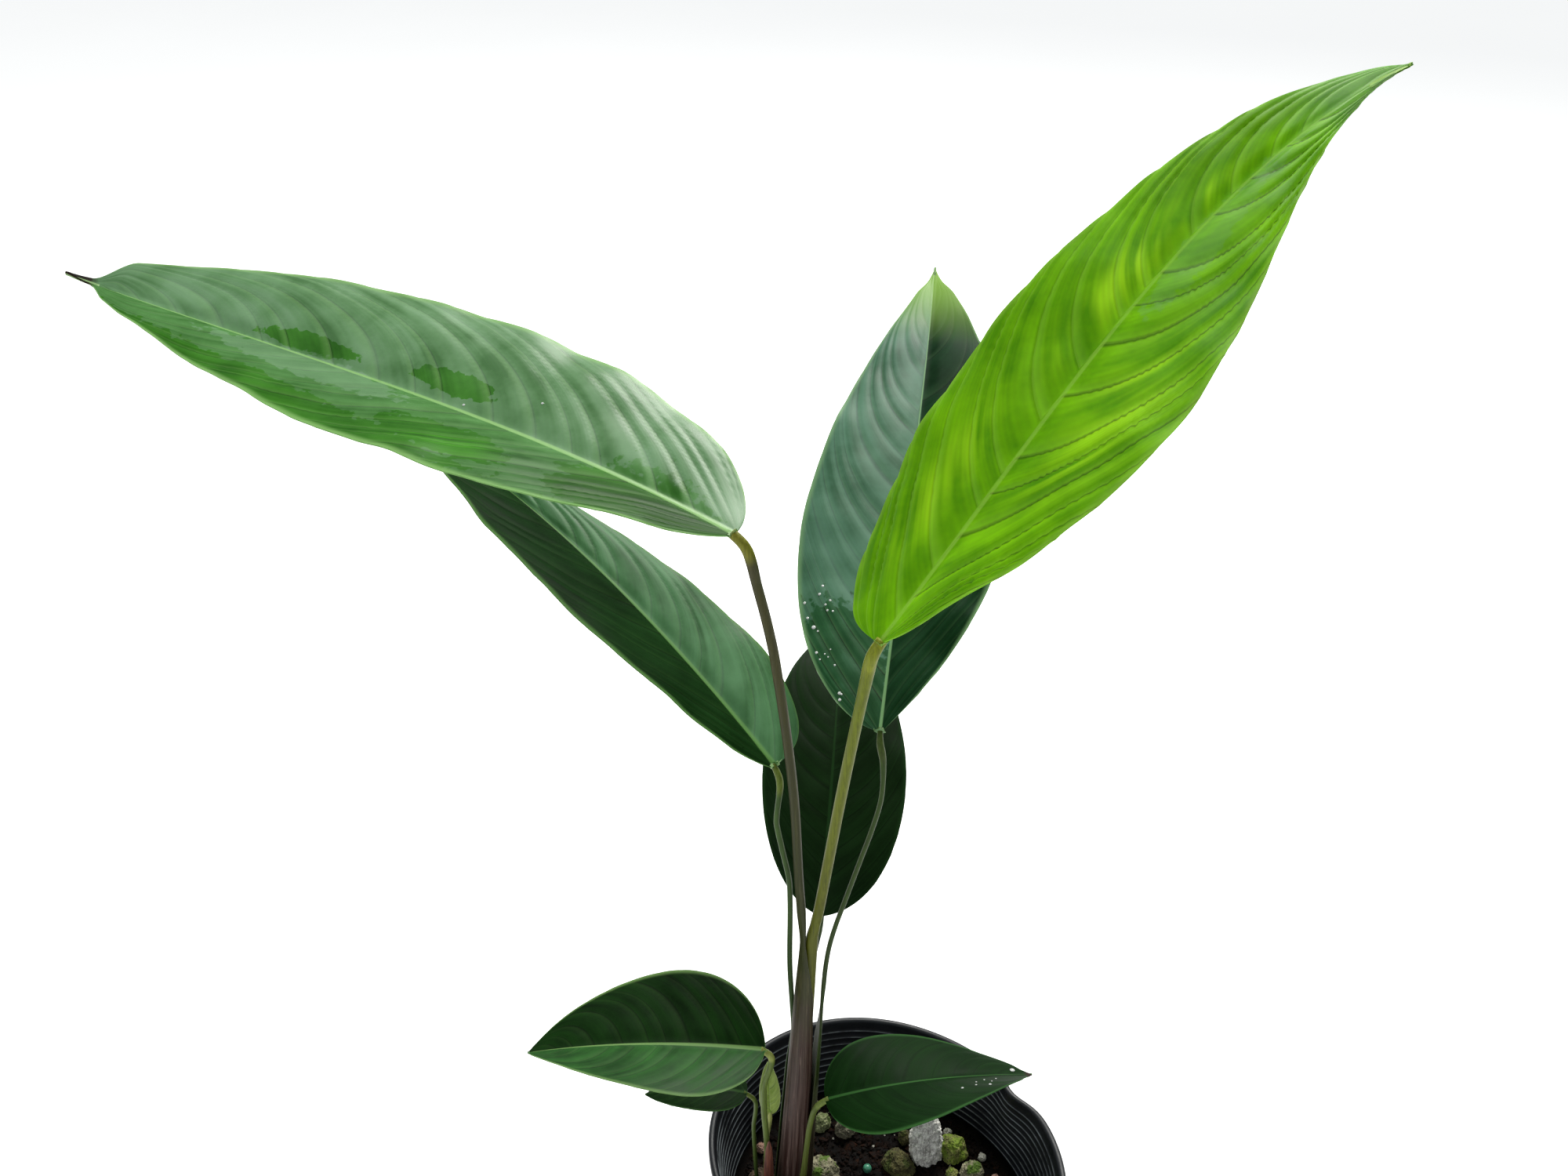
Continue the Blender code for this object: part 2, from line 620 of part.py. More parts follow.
def build_scale_leaf(parts):
    """A short dry sheath round the front of the left shoot, coming to a point."""
    shoot = SIDE_PETIOLES["lower_left"]
    azimuth = math.radians(SCALE_LEAF["azimuth"])
    side = Vector((math.cos(azimuth), math.sin(azimuth), 0.0))
    foot = CROWN_POINT + side_foot(shoot).to_3d()
    half_thickness = SCALE_LEAF["thickness"] / 2
    radius = shoot["foot_radius"] + GAP + half_thickness
    stations = []
    for share in SCALE_SHARES:
        height = -STALK_SINK if share < 0 else SCALE_LEAF["top"] * share
        closing = math.sqrt(1 - max(share, 0.0) ** 2)
        half_width = lerp(half_thickness, math.radians(SCALE_LEAF["reach"]) * radius, closing)
        out = radius + SCALE_LEAF["lean"] * max(height, 0.0)
        stations.append((foot + side * out + Vector((0.0, 0.0, height)), half_width,
                         half_thickness, 1 / radius))
    new_object("scale_leaf", loft("scale_leaf", stations, side, SECTION_STEPS), parts, "scale_leaf")


# ---- Blades ----------------------------------------------------------------------------------

def midrib(blade, count):
    """Points along the midrib, each with its direction, the blade's left and its upper side."""
    rows = []
    point = CROWN_POINT + Vector(blade["base"])
    previous = None
    for index in range(count + 1):
        share = 0.5 - 0.5 * math.cos(math.pi * index / count)
        heading = three_point(blade["heading"], share)
        along = direction(heading, three_point(blade["elevation"], share))
        roll = math.radians(lerp(*blade["roll"], share))
        if previous is not None:
            run = (share - previous[0]) * blade["length"]
            point = point + (along + previous[1]) / 2 * run
        previous = (share, along)
        level_left = direction(heading + 90, 0)
        level_up = along.cross(level_left)
        left = level_left * math.cos(roll) + level_up * math.sin(roll)
        up = level_up * math.cos(roll) - level_left * math.sin(roll)
        rows.append((share, point, left, up))
    return rows


def half_width(blade, side, share):
    """Width of the blade's left or right half, share of the way from its base to its tip."""
    base, tip = blade[side]
    widest = base / (base + tip)
    peak = widest ** base * (1 - widest) ** tip
    width = blade["width"] / 2 * share ** base * (1 - share) ** tip / peak
    return math.hypot(width, lerp(BLADE_STALK_HALF_WIDTH, BLADE_POINT_HALF_WIDTH, share))


def across_blade(blade, across):
    """Sideways and upward place of a point across the blade, as shares of the half width."""
    fold = math.radians(blade["fold"])
    arch = math.radians(blade["arch"])
    reach = abs(across)
    sideways = (math.sin(fold) - math.sin(fold - arch * reach)) / arch
    upward = (math.cos(fold - arch * reach) - math.cos(fold)) / arch
    return math.copysign(sideways, across), upward


def build_blade(name, blade, parts, finish):
    bpy.ops.mesh.primitive_grid_add(x_subdivisions=BLADE_ROWS, y_subdivisions=BLADE_COLUMNS, size=2)
    item = bpy.context.object
    item.name = "blade_" + name
    item.data.name = item.name
    for owner in list(item.users_collection):
        owner.objects.unlink(item)
    parts.objects.link(item)
    rows = midrib(blade, BLADE_ROWS)
    for vertex in item.data.vertices:
        row = round((vertex.co.x + 1) / 2 * BLADE_ROWS)
        across = vertex.co.y
        share, point, left, up = rows[row]
        side, skew = ("left", 1 + blade["skew"]) if across > 0 else ("right", 1 - blade["skew"])
        sideways, upward = across_blade(blade, across)
        reach = half_width(blade, side, share) * skew
        vertex.co = point + left * reach * sideways + up * reach * upward
    item.data.materials.append(make_material(item.name, *COLOURS[finish]))
    item.data.shade_smooth()
    shell = item.modifiers.new("thickness", "SOLIDIFY")
    shell.thickness = BLADE_THICKNESS
    shell.offset = 0.0


def build_blades(parts):
    for name, blade in BLADES.items():
        light = name in ("upper_right", "young")
        build_blade(name, blade, parts, "blade_light" if light else "blade")


# ---- Stones ----------------------------------------------------------------------------------

def place_lumps():
    """Where each lump lies: at its azimuth and share, then pushed clear of what it would touch."""
    sizes = {name: max(size[:2]) / 2 + GAP for name, (_, _, size) in STONES.items()}
    sizes["fertiliser_bead"] = BEAD_RADIUS + GAP
    turns = {name: (azimuth, share) for name, (azimuth, share, _) in STONES.items()}
    turns["fertiliser_bead"] = (BEAD_AZIMUTH, BEAD_SHARE)
    places = {}
    for name, (azimuth, share) in turns.items():
        out = (free_soil_radius(math.radians(azimuth)) - sizes[name]) * share
        places[name] = Vector((out * math.cos(math.radians(azimuth)),
                               out * math.sin(math.radians(azimuth))))
    stems = [(CROWN, ring_radius("outer", 0.0) + OUTER_FOOT)]
    stems += [(CROWN + side_foot(values), values["foot_radius"] + OUTER_FOOT)
              for values in SIDE_PETIOLES.values()]
    for _ in range(SETTLE_ROUNDS):
        for name, place in places.items():
            others = stems + [(places[other], sizes[other]) for other in places if other != name]
            for centre, radius in others:
                apart = place - centre
                short = radius + sizes[name] - apart.length
                if short > 0:
                    place += apart.normalized() * short
            limit = free_soil_radius(math.atan2(place.y, place.x)) - sizes[name]
            if place.length > limit:
                place *= limit / place.length
    return places


def free_soil_radius(azimuth):
    """Radius of the flat top of the soil in one direction."""
    return soil_radius(SOIL_TOP) + bulge(azimuth, SOIL_TOP) - 2 * SOIL_SHOULDER


def build_stone(name, place, size, parts, dice):
    """A rough lump with a flat foot that rests on the soil."""
    bm = bmesh.new()
    bmesh.ops.create_icosphere(bm, subdivisions=2, radius=1.0)
    floor = -1 + 2 * STONE_SINK_SHARE
    for vertex in bm.verts:
        vertex.co *= dice.uniform(STONE_LEAST_RADIUS, 1.0)
        vertex.co.z = max(vertex.co.z, floor)
    rise = size[2] / (1 - floor)
    scale = Matrix.Diagonal((size[0] / 2, size[1] / 2, rise, 1.0))
    turn = Matrix.Rotation(dice.uniform(0, math.pi), 4, "Z")
    lift = Matrix.Translation((place.x, place.y, SOIL_TOP + GAP - floor * rise))
    bm.transform(lift @ turn @ scale)
    mossy = any(word in name for word in ("moss", "olive", "green", "yellow"))
    new_object(name, mesh_from_bmesh(name, bm), parts, "stone_moss" if mossy else "stone")


def build_lumps(parts):
    dice = random.Random(SEED)
    places = place_lumps()
    for name, (_, _, size) in STONES.items():
        build_stone(name, places[name], size, parts, dice)
    bead = places["fertiliser_bead"]
    bm = bmesh.new()
    place = Matrix.Translation((bead.x, bead.y, SOIL_TOP + GAP + BEAD_RADIUS))
    bmesh.ops.create_icosphere(bm, subdivisions=2, radius=BEAD_RADIUS, matrix=place)
    new_object("fertiliser_bead", mesh_from_bmesh("fertiliser_bead", bm), parts, "bead")


def main():
    clear_scene()
    parts = new_collection("potted_calathea")
    cutters = new_collection("cutters")
    build_pot(parts, cutters)
    build_soil(parts, cutters)
    build_rhizome(parts)
    build_stalks(parts)
    build_scale_leaf(parts)
    build_blades(parts)
    build_lumps(parts)


main()
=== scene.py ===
# %% [markdown]
# # A potted calathea
#
# The plant is one leafy shoot with two short side shoots, in a thin black nursery pot. The CAD
# model fixes where everything is. This lesson builds the finely detailed pieces that stand for its
# solids, gives each a finish, and lights the result. Lengths are in metres and +Z is up.

# %% Load the CAD model
import math

import bpy
import numpy as np
from mathutils import Matrix, Vector


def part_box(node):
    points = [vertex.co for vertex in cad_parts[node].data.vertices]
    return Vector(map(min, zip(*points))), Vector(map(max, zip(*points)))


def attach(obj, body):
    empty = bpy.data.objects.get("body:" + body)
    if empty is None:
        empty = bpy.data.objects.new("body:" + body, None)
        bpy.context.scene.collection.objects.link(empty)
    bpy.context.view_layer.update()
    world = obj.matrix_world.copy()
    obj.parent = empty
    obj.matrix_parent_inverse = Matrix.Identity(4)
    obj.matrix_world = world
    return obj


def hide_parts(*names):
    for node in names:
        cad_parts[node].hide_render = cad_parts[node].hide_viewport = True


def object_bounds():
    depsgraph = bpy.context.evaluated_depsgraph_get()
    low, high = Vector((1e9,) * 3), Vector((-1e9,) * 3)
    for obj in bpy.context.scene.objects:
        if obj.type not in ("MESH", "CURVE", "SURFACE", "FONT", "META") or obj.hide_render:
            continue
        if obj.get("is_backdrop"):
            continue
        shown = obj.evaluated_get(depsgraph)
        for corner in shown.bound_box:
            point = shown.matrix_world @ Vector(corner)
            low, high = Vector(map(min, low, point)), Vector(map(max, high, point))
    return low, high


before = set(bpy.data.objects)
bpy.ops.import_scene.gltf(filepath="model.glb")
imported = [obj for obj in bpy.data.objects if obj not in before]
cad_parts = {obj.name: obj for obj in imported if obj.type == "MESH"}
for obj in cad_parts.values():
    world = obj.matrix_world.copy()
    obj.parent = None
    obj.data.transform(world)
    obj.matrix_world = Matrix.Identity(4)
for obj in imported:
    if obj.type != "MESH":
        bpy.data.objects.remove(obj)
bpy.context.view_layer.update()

# %% [markdown]
# ## Small helpers
#
# Colours are written as screen hex codes, because that is how a finish is matched, and one
# function turns them into the linear values that the renderer works in. A second function adds a
# node to a tree, with its settings and its links, for materials and Geometry Nodes alike.

# %% Colours and nodes
def linear(code):
    """A screen colour such as #3f7d2b as linear red, green, blue and alpha."""
    parts = [int(code[place:place + 2], 16) / 255 for place in (1, 3, 5)]
    return (*[part / 12.92 if part <= 0.04045 else ((part + 0.055) / 1.055) ** 2.4
              for part in parts], 1.0)


def add(tree, kind, inputs=None, **settings):
    """Add a node, set its properties, then fill or link its inputs by name or by number."""
    node = tree.nodes.new(kind)
    for name, value in settings.items():
        setattr(node, name, value)
    for key, value in (inputs or {}).items():
        socket = (node.inputs[key] if isinstance(key, int) else
                  next(s for s in node.inputs if s.name == key and s.enabled))
        if isinstance(value, bpy.types.Node):
            value = next(s for s in value.outputs if s.enabled)
        if isinstance(value, bpy.types.NodeSocket):
            tree.links.new(value, socket)
        else:
            socket.default_value = value
    return node


# %% [markdown]
# A mesh is made from arrays of corners and faces. Numbers that belong to a corner, such as how far
# along a leaf it lies, are kept on the mesh as attributes, so that a pattern can follow the surface.

# %% Meshes and Geometry Nodes
def make_mesh(name, corners, faces, attributes=None):
    mesh = bpy.data.meshes.new(name)
    mesh.from_pydata([tuple(corner) for corner in corners], [], [list(face) for face in faces])
    for key, values in (attributes or {}).items():
        vector = np.ndim(values) == 2
        store = mesh.attributes.new(key, "FLOAT_VECTOR" if vector else "FLOAT", "POINT")
        store.data.foreach_set("vector" if vector else "value",
                               np.asarray(values, np.float32).ravel())
    mesh.shade_smooth()
    return mesh


def corners_of(mesh):
    places = np.zeros(3 * len(mesh.vertices))
    mesh.vertices.foreach_get("co", places)
    return places.reshape(-1, 3)


def move_corners(mesh, corners):
    mesh.vertices.foreach_set("co", corners.ravel())
    mesh.update()


def attribute_of(mesh, name):
    values = np.zeros(len(mesh.vertices), np.float32)
    mesh.attributes[name].data.foreach_get("value", values)
    return values


def show(name, mesh):
    item = bpy.data.objects.new(name, mesh)
    bpy.context.scene.collection.objects.link(item)
    return item


def new_tree(name, **sockets):
    """A Geometry Nodes tree with a mesh in, a mesh out, and a named input for each size."""
    tree = bpy.data.node_groups.new(name, "GeometryNodeTree")
    tree.interface.new_socket(name="Geometry", in_out="OUTPUT", socket_type="NodeSocketGeometry")
    tree.interface.new_socket(name="Geometry", in_out="INPUT", socket_type="NodeSocketGeometry")
    for key, kind in sockets.items():
        tree.interface.new_socket(name=key, in_out="INPUT", socket_type="NodeSocket" + kind)
    return tree, add(tree, "NodeGroupInput").outputs


def end_tree(tree, geometry, material):
    """Every tree ends the same way: real geometry, with its material on it."""
    whole = add(tree, "GeometryNodeRealizeInstances", {"Geometry": geometry})
    painted = add(tree, "GeometryNodeSetMaterial", {"Geometry": whole, "Material": material})
    add(tree, "NodeGroupOutput", {"Geometry": painted})


def bake_modifiers(item):
    """Keep what the modifiers make as the object's plain mesh."""
    bpy.context.view_layer.update()
    graph = bpy.context.evaluated_depsgraph_get()
    mesh = bpy.data.meshes.new_from_object(item.evaluated_get(graph), depsgraph=graph,
                                           preserve_all_data_layers=True)
    item.modifiers.clear()
    item.data = mesh


def grow(item, tree, **values):
    """Run a tree on an object, and keep the result as its plain mesh."""
    modifier = item.modifiers.new(tree.name, "NODES")
    modifier.node_group = tree
    for socket in tree.interface.items_tree:
        if socket.in_out == "INPUT" and socket.name in values:
            modifier[socket.identifier] = values[socket.name]
    bake_modifiers(item)


def finish_piece(item, slot, *nodes):
    """The piece rides on the one body and stands for its CAD solids, which it hides; slot is not
    used.
    """
    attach(item, "root")
    if nodes:
        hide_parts(*nodes)


# %% [markdown]
# ## The growth plan
#
# The CAD source built every solid from the numbers below. The scene repeats them, so that each fine
# piece follows the same midrib, outline or stalk as the solid it stands for. Places on the plant
# count from the crown, where the main shoot leaves the soil.

# %% Pot and shoot sizes
GAP = 0.0003                      # between neighbouring solids
POT_HEIGHT, POT_BASE_RADIUS, POT_RIM_RADIUS = 0.140, 0.058, 0.0785
POT_WALL, POT_FLOOR, POT_HEEL = 0.0012, 0.0020, 0.004
LIP_WIDTH, LIP_HEIGHT = 0.0016, 0.005
OVAL_DEPTH, OVAL_AZIMUTH = 0.005, math.radians(140)
CREASE_DEPTH, CREASE_AZIMUTH, CREASE_SPREAD = 0.0045, math.radians(28), math.radians(8)
DRAIN_COUNT, DRAIN_RADIUS, DRAIN_CIRCLE_RADIUS = 6, 0.0045, 0.040
SOIL_BELOW_RIM, SOIL_CLEARANCE, SOIL_SHOULDER = 0.040, 0.0007, 0.003
SOIL_TOP = POT_HEIGHT - SOIL_BELOW_RIM
CROWN_AZIMUTH, CROWN_TO_WALL, STALK_SINK = 190, 0.0239, 0.015
SHOOT_LEAN, SHOOT_TOP = 0.047, 0.186
CORE_FOOT_RADIUS, CORE_TOP_RADIUS = 0.0046, 0.0026
WRAP_FOOT, WRAP_TOP, OUTER_FOOT, OUTER_TOP = 0.0026, 0.0020, 0.0015, 0.0014
BLADE_STALK_HALF_WIDTH, BLADE_POINT_HALF_WIDTH = 0.0012, 0.0005

# %% Blades, from the crown, with angles in degrees
BLADES = {
    "upper_left": dict(
        base=(-0.0187, 0.000, 0.376), length=0.292, width=0.095, heading=(147, 155, 162),
        elevation=(11, 7, 12), roll=(2, -11), fold=19, arch=16, skew=-0.03,
        left=(0.80, 1.18), right=(0.52, 0.76)),
    "upper_right": dict(
        base=(0.0293, -0.019, 0.345), length=0.290, width=0.095, heading=(38, 39, 29),
        elevation=(39, 35, 13), roll=(-23, 24), fold=11, arch=14, skew=-0.03,
        left=(0.33, 0.92), right=(0.92, 1.85)),
    "back": dict(
        base=(0.0333, 0.011, 0.284), length=0.251, width=0.085, heading=(81, 81, 83),
        elevation=(24, 22, 18), roll=(-1, 2), fold=11, arch=21, skew=0.0,
        left=(0.61, 1.07), right=(0.95, 1.09)),
    "mid_left": dict(
        base=(-0.0057, 0.011, 0.267), length=0.211, width=0.066, heading=(139, 141, 146),
        elevation=(34, 24, 11), roll=(11, 4), fold=21, arch=15, skew=0.10,
        left=(0.73, 0.89), right=(0.37, 1.45)),
    "inner": dict(
        base=(0.0133, 0.031, 0.169), length=0.149, width=0.064, heading=(83, 85, 86),
        elevation=(37, 22, 7), roll=(0, 1), fold=10, arch=10, skew=-0.03,
        left=(0.58, 0.73), right=(0.52, 0.80)),
    "lower_left": dict(
        base=(-0.0107, -0.009, 0.131), length=0.099, width=0.065, heading=(177, 180, 184),
        elevation=(5, -1, -7), roll=(-6, 9), fold=13, arch=5, skew=-0.09,
        left=(0.51, 0.95), right=(0.55, 0.87)),
    "lower_right": dict(
        base=(0.0153, -0.009, 0.099), length=0.091, width=0.058, heading=(9, 7, 5),
        elevation=(12, 1, -7), roll=(1, -28), fold=10, arch=8, skew=0.01,
        left=(0.51, 0.85), right=(0.49, 0.90)),
    "small": dict(
        base=(-0.0185, -0.0015, 0.094), length=0.045, width=0.026, heading=(172, 178, 184),
        elevation=(6, -4, -14), roll=(0, 0), fold=10, arch=8, skew=0.0,
        left=(0.50, 0.90), right=(0.50, 0.90)),
    "young": dict(
        base=(-0.0086, 0.0002, 0.078), length=0.028, width=0.010, heading=(100, 98, 96),
        elevation=(84, 78, 72), roll=(0, 0), fold=32, arch=10, skew=0.0,
        left=(0.55, 0.80), right=(0.55, 0.80)),
}

# %% Stalks of the main shoot and of the side shoots
MAIN_PETIOLES = {
    "upper_right": dict(
        ring="core", azimuth=20, reach=0, sheath_top=0.186, radius=(0.0021, 0.0020),
        via=[(0.0112, -0.002, 0.204), (0.0193, -0.010, 0.2766), (0.0262, -0.018, 0.334)],
        pulvinus=(0.0025, 0.020)),
    "upper_left": dict(
        ring="wrap", azimuth=200, reach=132, sheath_top=0.186, radius=(0.0018, 0.0017),
        via=[(0.0035, 0.0, 0.218), (0.0008, 0.0, 0.268), (-0.0062, 0.0, 0.329),
             (-0.0117, 0.0, 0.3565)],
        pulvinus=(0.0020, 0.020)),
    "back": dict(
        ring="outer", azimuth=8, reach=50, sheath_top=0.148, radius=(0.0010, 0.0009),
        via=[(0.0159, 0.001, 0.1815), (0.0240, 0.001, 0.2162), (0.0340, 0.003, 0.256),
             (0.0345, 0.006, 0.274)],
        pulvinus=(0.0018, 0.014)),
    "mid_left": dict(
        ring="outer", azimuth=132, reach=40, sheath_top=0.128, radius=(0.0011, 0.0011),
        via=[(0.0000, 0.005, 0.166), (-0.0005, 0.004, 0.216), (-0.0052, 0.005, 0.243)],
        pulvinus=(0.0016, 0.012)),
    "inner": dict(
        ring="outer", azimuth=75, reach=13, sheath_top=0.095, radius=(0.0014, 0.0014),
        via=[(0.0070, 0.0150, 0.139)], pulvinus=(0.0018, 0.012)),
}
SIDE_PETIOLES = {
    "lower_left": dict(
        foot=(207, 0.0012), foot_radius=0.0025, neck=0.045, radius=(0.0013, 0.0012),
        via=[(0.0001, -0.0010, 0.060), (-0.0012, -0.0033, 0.105)], pulvinus=(0.0016, 0.010)),
    "small": dict(
        foot=(186, 0.0056), foot_radius=0.0013, neck=0.030, radius=(0.0009, 0.0008),
        via=[(-0.0016, 0.0002, 0.070)], pulvinus=(0.0011, 0.006)),
    "young": dict(
        foot=(163, 0.0030), foot_radius=0.0014, neck=0.030, radius=(0.0010, 0.0009),
        via=[(0.0012, -0.0016, 0.058)], pulvinus=(0.0012, 0.005)),
    "lower_right": dict(
        foot=(-68, 0.0013), foot_radius=0.0031, neck=0.060, radius=(0.0012, 0.0012),
        via=[(0.0020, -0.0003, 0.055), (0.0039, 0.0002, 0.0804)], pulvinus=(0.0015, 0.008)),
}
SCALE_LEAF = dict(azimuth=-78, reach=62, thickness=0.0006, top=0.072, lean=0.022)


# %% [markdown]
# ## Directions and curves
#
# A leaf's midrib is set by a compass heading and a climb at its base, middle and tip, and a smooth
# curve runs through the three. Stalks follow a smooth line through a few points.

# %% Curve helpers
def lerp(start, end, share):
    return start + (end - start) * share


def smooth(low, high, value):
    """0 below low, 1 above high, and a smooth rise between."""
    share = np.clip((value - low) / (high - low), 0, 1)
    return share * share * (3 - 2 * share)


def direction(heading, elevation):
    turn, climb = math.radians(heading), math.radians(elevation)
    return Vector((math.cos(climb) * math.cos(turn), math.cos(climb) * math.sin(turn),
                   math.sin(climb)))


def three_point(values, share):
    first, middle, last = values
    return (first * (1 - share) * (1 - 2 * share) + middle * 4 * share * (1 - share)
            + last * share * (2 * share - 1))


def spline_point(points, span, share):
    start, end = points[span], points[span + 1]
    before = points[span - 1] if span else start
    after = points[span + 2] if span + 2 < len(points) else end
    length = (end - start).length
    leave = (end - before).normalized() * length
    arrive = (after - start).normalized() * length
    rest = 1 - share
    return (start * (1 + 2 * share) * rest ** 2 + leave * share * rest ** 2
            + end * (3 - 2 * share) * share ** 2 - arrive * rest * share ** 2)


def wall_radius(height):
    return lerp(POT_BASE_RADIUS, POT_RIM_RADIUS, height / POT_HEIGHT)


def soil_radius(height):
    return wall_radius(height) - POT_WALL - SOIL_CLEARANCE


CROWN = direction(CROWN_AZIMUTH, 0).xy * (soil_radius(SOIL_TOP - STALK_SINK) - CROWN_TO_WALL)
CROWN_POINT = Vector((CROWN.x, CROWN.y, SOIL_TOP))
print("crown:", [round(1000 * value, 1) for value in CROWN_POINT])


# %% [markdown]
# ## The pot: ribs that follow a rule
#
# A nursery pot is vacuum-formed from a thin sheet of black polypropylene. Its wall has fine ribs
# round it every few millimetres to stiffen it, and a rolled lip. It is a turned shape, so a profile
# is spun round Z, and then Geometry Nodes push the wall in and out by the rule of the ribs. Last, the
# rim is squeezed out of round and creased, as the soft wall of a used pot is.

# %% Pot profile
TURN_STEPS = 144
WALL_ROW = 0.0008                 # distance between rings of the wall mesh, a fifth of a rib's pitch
RIB_PITCH = 0.0040
RIB_HEIGHT = 0.00055
LIP_ROUND = 0.0006
FLOOR_RINGS = (0.020, 0.036)      # radii of the rings inside the floor, beside the drain holes


def spin(profile, steps):
    """Corners and faces of a profile of (radius, height) points turned about Z."""
    turn = np.linspace(0, 2 * np.pi, steps, endpoint=False)
    profile = np.array(profile)
    corners, rings = [], []
    for radius, height in profile:
        if radius < 1e-6:
            rings.append([len(corners)] * steps)
            corners.append((0.0, 0.0, height))
        else:
            rings.append(list(range(len(corners), len(corners) + steps)))
            corners += [(radius * math.cos(a), radius * math.sin(a), height) for a in turn]
    faces = []
    for lower, upper in zip(rings, rings[1:]):
        for index in range(steps):
            following = (index + 1) % steps
            face = [lower[index], upper[index], upper[following], lower[following]]
            faces.append(list(dict.fromkeys(face)))
    return corners, faces


def wall(low, high, inset):
    count = max(2, round((high - low) / WALL_ROW))
    return [(wall_radius(height) - inset, height) for height in np.linspace(low, high, count + 1)]


lip_low = POT_HEIGHT - LIP_HEIGHT
lip_radius = wall_radius(POT_HEIGHT) + LIP_WIDTH
floor_radii = (0.0, *FLOOR_RINGS)
outside = [(radius, 0.0) for radius in (*floor_radii, POT_BASE_RADIUS - POT_HEEL)]
outside += [(POT_BASE_RADIUS - POT_HEEL / 3, POT_HEEL / 3)]
outside += wall(POT_HEEL, lip_low - LIP_ROUND, 0.0)
lip = [(wall_radius(lip_low), lip_low), (lip_radius - LIP_ROUND, lip_low),
       (lip_radius, lip_low + LIP_ROUND), (lip_radius, POT_HEIGHT - LIP_ROUND),
       (lip_radius - LIP_ROUND, POT_HEIGHT),
       (wall_radius(POT_HEIGHT) - POT_WALL + LIP_ROUND, POT_HEIGHT)]
inside = wall(POT_FLOOR + POT_HEEL, POT_HEIGHT - LIP_ROUND, POT_WALL)[::-1]
inside += [(POT_BASE_RADIUS - POT_HEEL - POT_WALL, POT_FLOOR)]
inside += [(radius, POT_FLOOR) for radius in floor_radii[::-1]]
pot = show("pot_wall", make_mesh("pot_wall", *spin(outside + lip + inside, TURN_STEPS)))
print("pot mesh:", len(pot.data.polygons), "faces")

# %% [markdown]
# The ribs are a rule in height alone: a narrow ridge each four millimetres, fading out at the lip
# and the heel. A Float Curve draws one rib's section, and the tree pushes both faces of the wall by
# it, so the sheet keeps its thickness.

# %% Ribs by Geometry Nodes
rib_tree, given = new_tree("pot_ribs", **{"Rib pitch": "Float", "Rib height": "Float",
                                          "Low": "Float", "High": "Float",
                                          "Material": "Material"})
place = add(rib_tree, "ShaderNodeSeparateXYZ",
            {0: add(rib_tree, "GeometryNodeInputPosition")})
turns = add(rib_tree, "ShaderNodeMath", {0: place.outputs["Z"], 1: given["Rib pitch"]},
            operation="DIVIDE")
section = add(rib_tree, "ShaderNodeFloatCurve",
              {"Value": add(rib_tree, "ShaderNodeMath", {0: turns}, operation="FRACT")})
points = section.mapping.curves[0].points
points[0].location, points[1].location = (0.0, 0.0), (1.0, 0.0)
for across, rise in ((0.30, 0.0), (0.5, 1.0), (0.70, 0.0)):
    points.new(across, rise)
section.mapping.update()
above = add(rib_tree, "ShaderNodeMath", {0: place.outputs["Z"], 1: given["Low"]},
            operation="GREATER_THAN")
below = add(rib_tree, "ShaderNodeMath", {0: place.outputs["Z"], 1: given["High"]},
            operation="LESS_THAN")
within = add(rib_tree, "ShaderNodeMath", {0: above, 1: below}, operation="MULTIPLY")
push = add(rib_tree, "ShaderNodeMath", {0: section, 1: given["Rib height"]},
           operation="MULTIPLY")
push = add(rib_tree, "ShaderNodeMath", {0: push, 1: within}, operation="MULTIPLY")
inward = add(rib_tree, "ShaderNodeVectorMath",
             {0: add(rib_tree, "GeometryNodeInputPosition"), 1: (-1.0, -1.0, 0.0)},
             operation="MULTIPLY")
inward = add(rib_tree, "ShaderNodeVectorMath", {0: inward}, operation="NORMALIZE")
offset = add(rib_tree, "ShaderNodeVectorMath", {0: inward, "Scale": push}, operation="SCALE")
moved = add(rib_tree, "GeometryNodeSetPosition",
            {"Geometry": given["Geometry"], "Offset": offset})
end_tree(rib_tree, moved, given["Material"])


# %% [markdown]
# Black polypropylene is filled with carbon black: nearly black, with a waxy, soft gloss. Handling
# leaves fine scuffs. The crest of each rib is lifted to a dull grey, broken up by the scuffs: a
# painted highlight of the light along the ribs.

# %% Black polypropylene, vacuum-formed
def new_material(name):
    material = bpy.data.materials.new(name)
    material.use_nodes = True
    tree = material.node_tree
    return material, tree, tree.nodes["Principled BSDF"]


def link(tree, node, socket):
    output = node if isinstance(node, bpy.types.NodeSocket) else next(
        s for s in node.outputs if s.enabled)
    tree.links.new(output, socket)


plastic, tree, shader = new_material("black_polypropylene_vacuum_formed")
shader.inputs["IOR"].default_value = 1.49
shader.inputs["Specular IOR Level"].default_value = 0.35
coordinates = add(tree, "ShaderNodeTexCoord").outputs["Object"]
height = add(tree, "ShaderNodeSeparateXYZ", {0: coordinates}).outputs["Z"]
rib_place = add(tree, "ShaderNodeMath",
                {0: add(tree, "ShaderNodeMath", {0: height, 1: RIB_PITCH}, operation="DIVIDE"),
                 1: 0.5}, operation="PINGPONG")
# Painted highlight: each rib's crest below the lip is lifted to a dull grey, broken up by the scuffs.
crest = add(tree, "ShaderNodeMapRange", {"Value": rib_place, "From Min": 0.40, "From Max": 0.48},
            interpolation_type="SMOOTHSTEP")
below_lip = add(tree, "ShaderNodeMath", {0: height, 1: lip_low}, operation="LESS_THAN")
crest = add(tree, "ShaderNodeMath", {0: crest, 1: below_lip}, operation="MULTIPLY")
scuffs = add(tree, "ShaderNodeTexNoise", {"Vector": coordinates, "Scale": 60.0, "Detail": 6.0,
                                          "Roughness": 0.65})
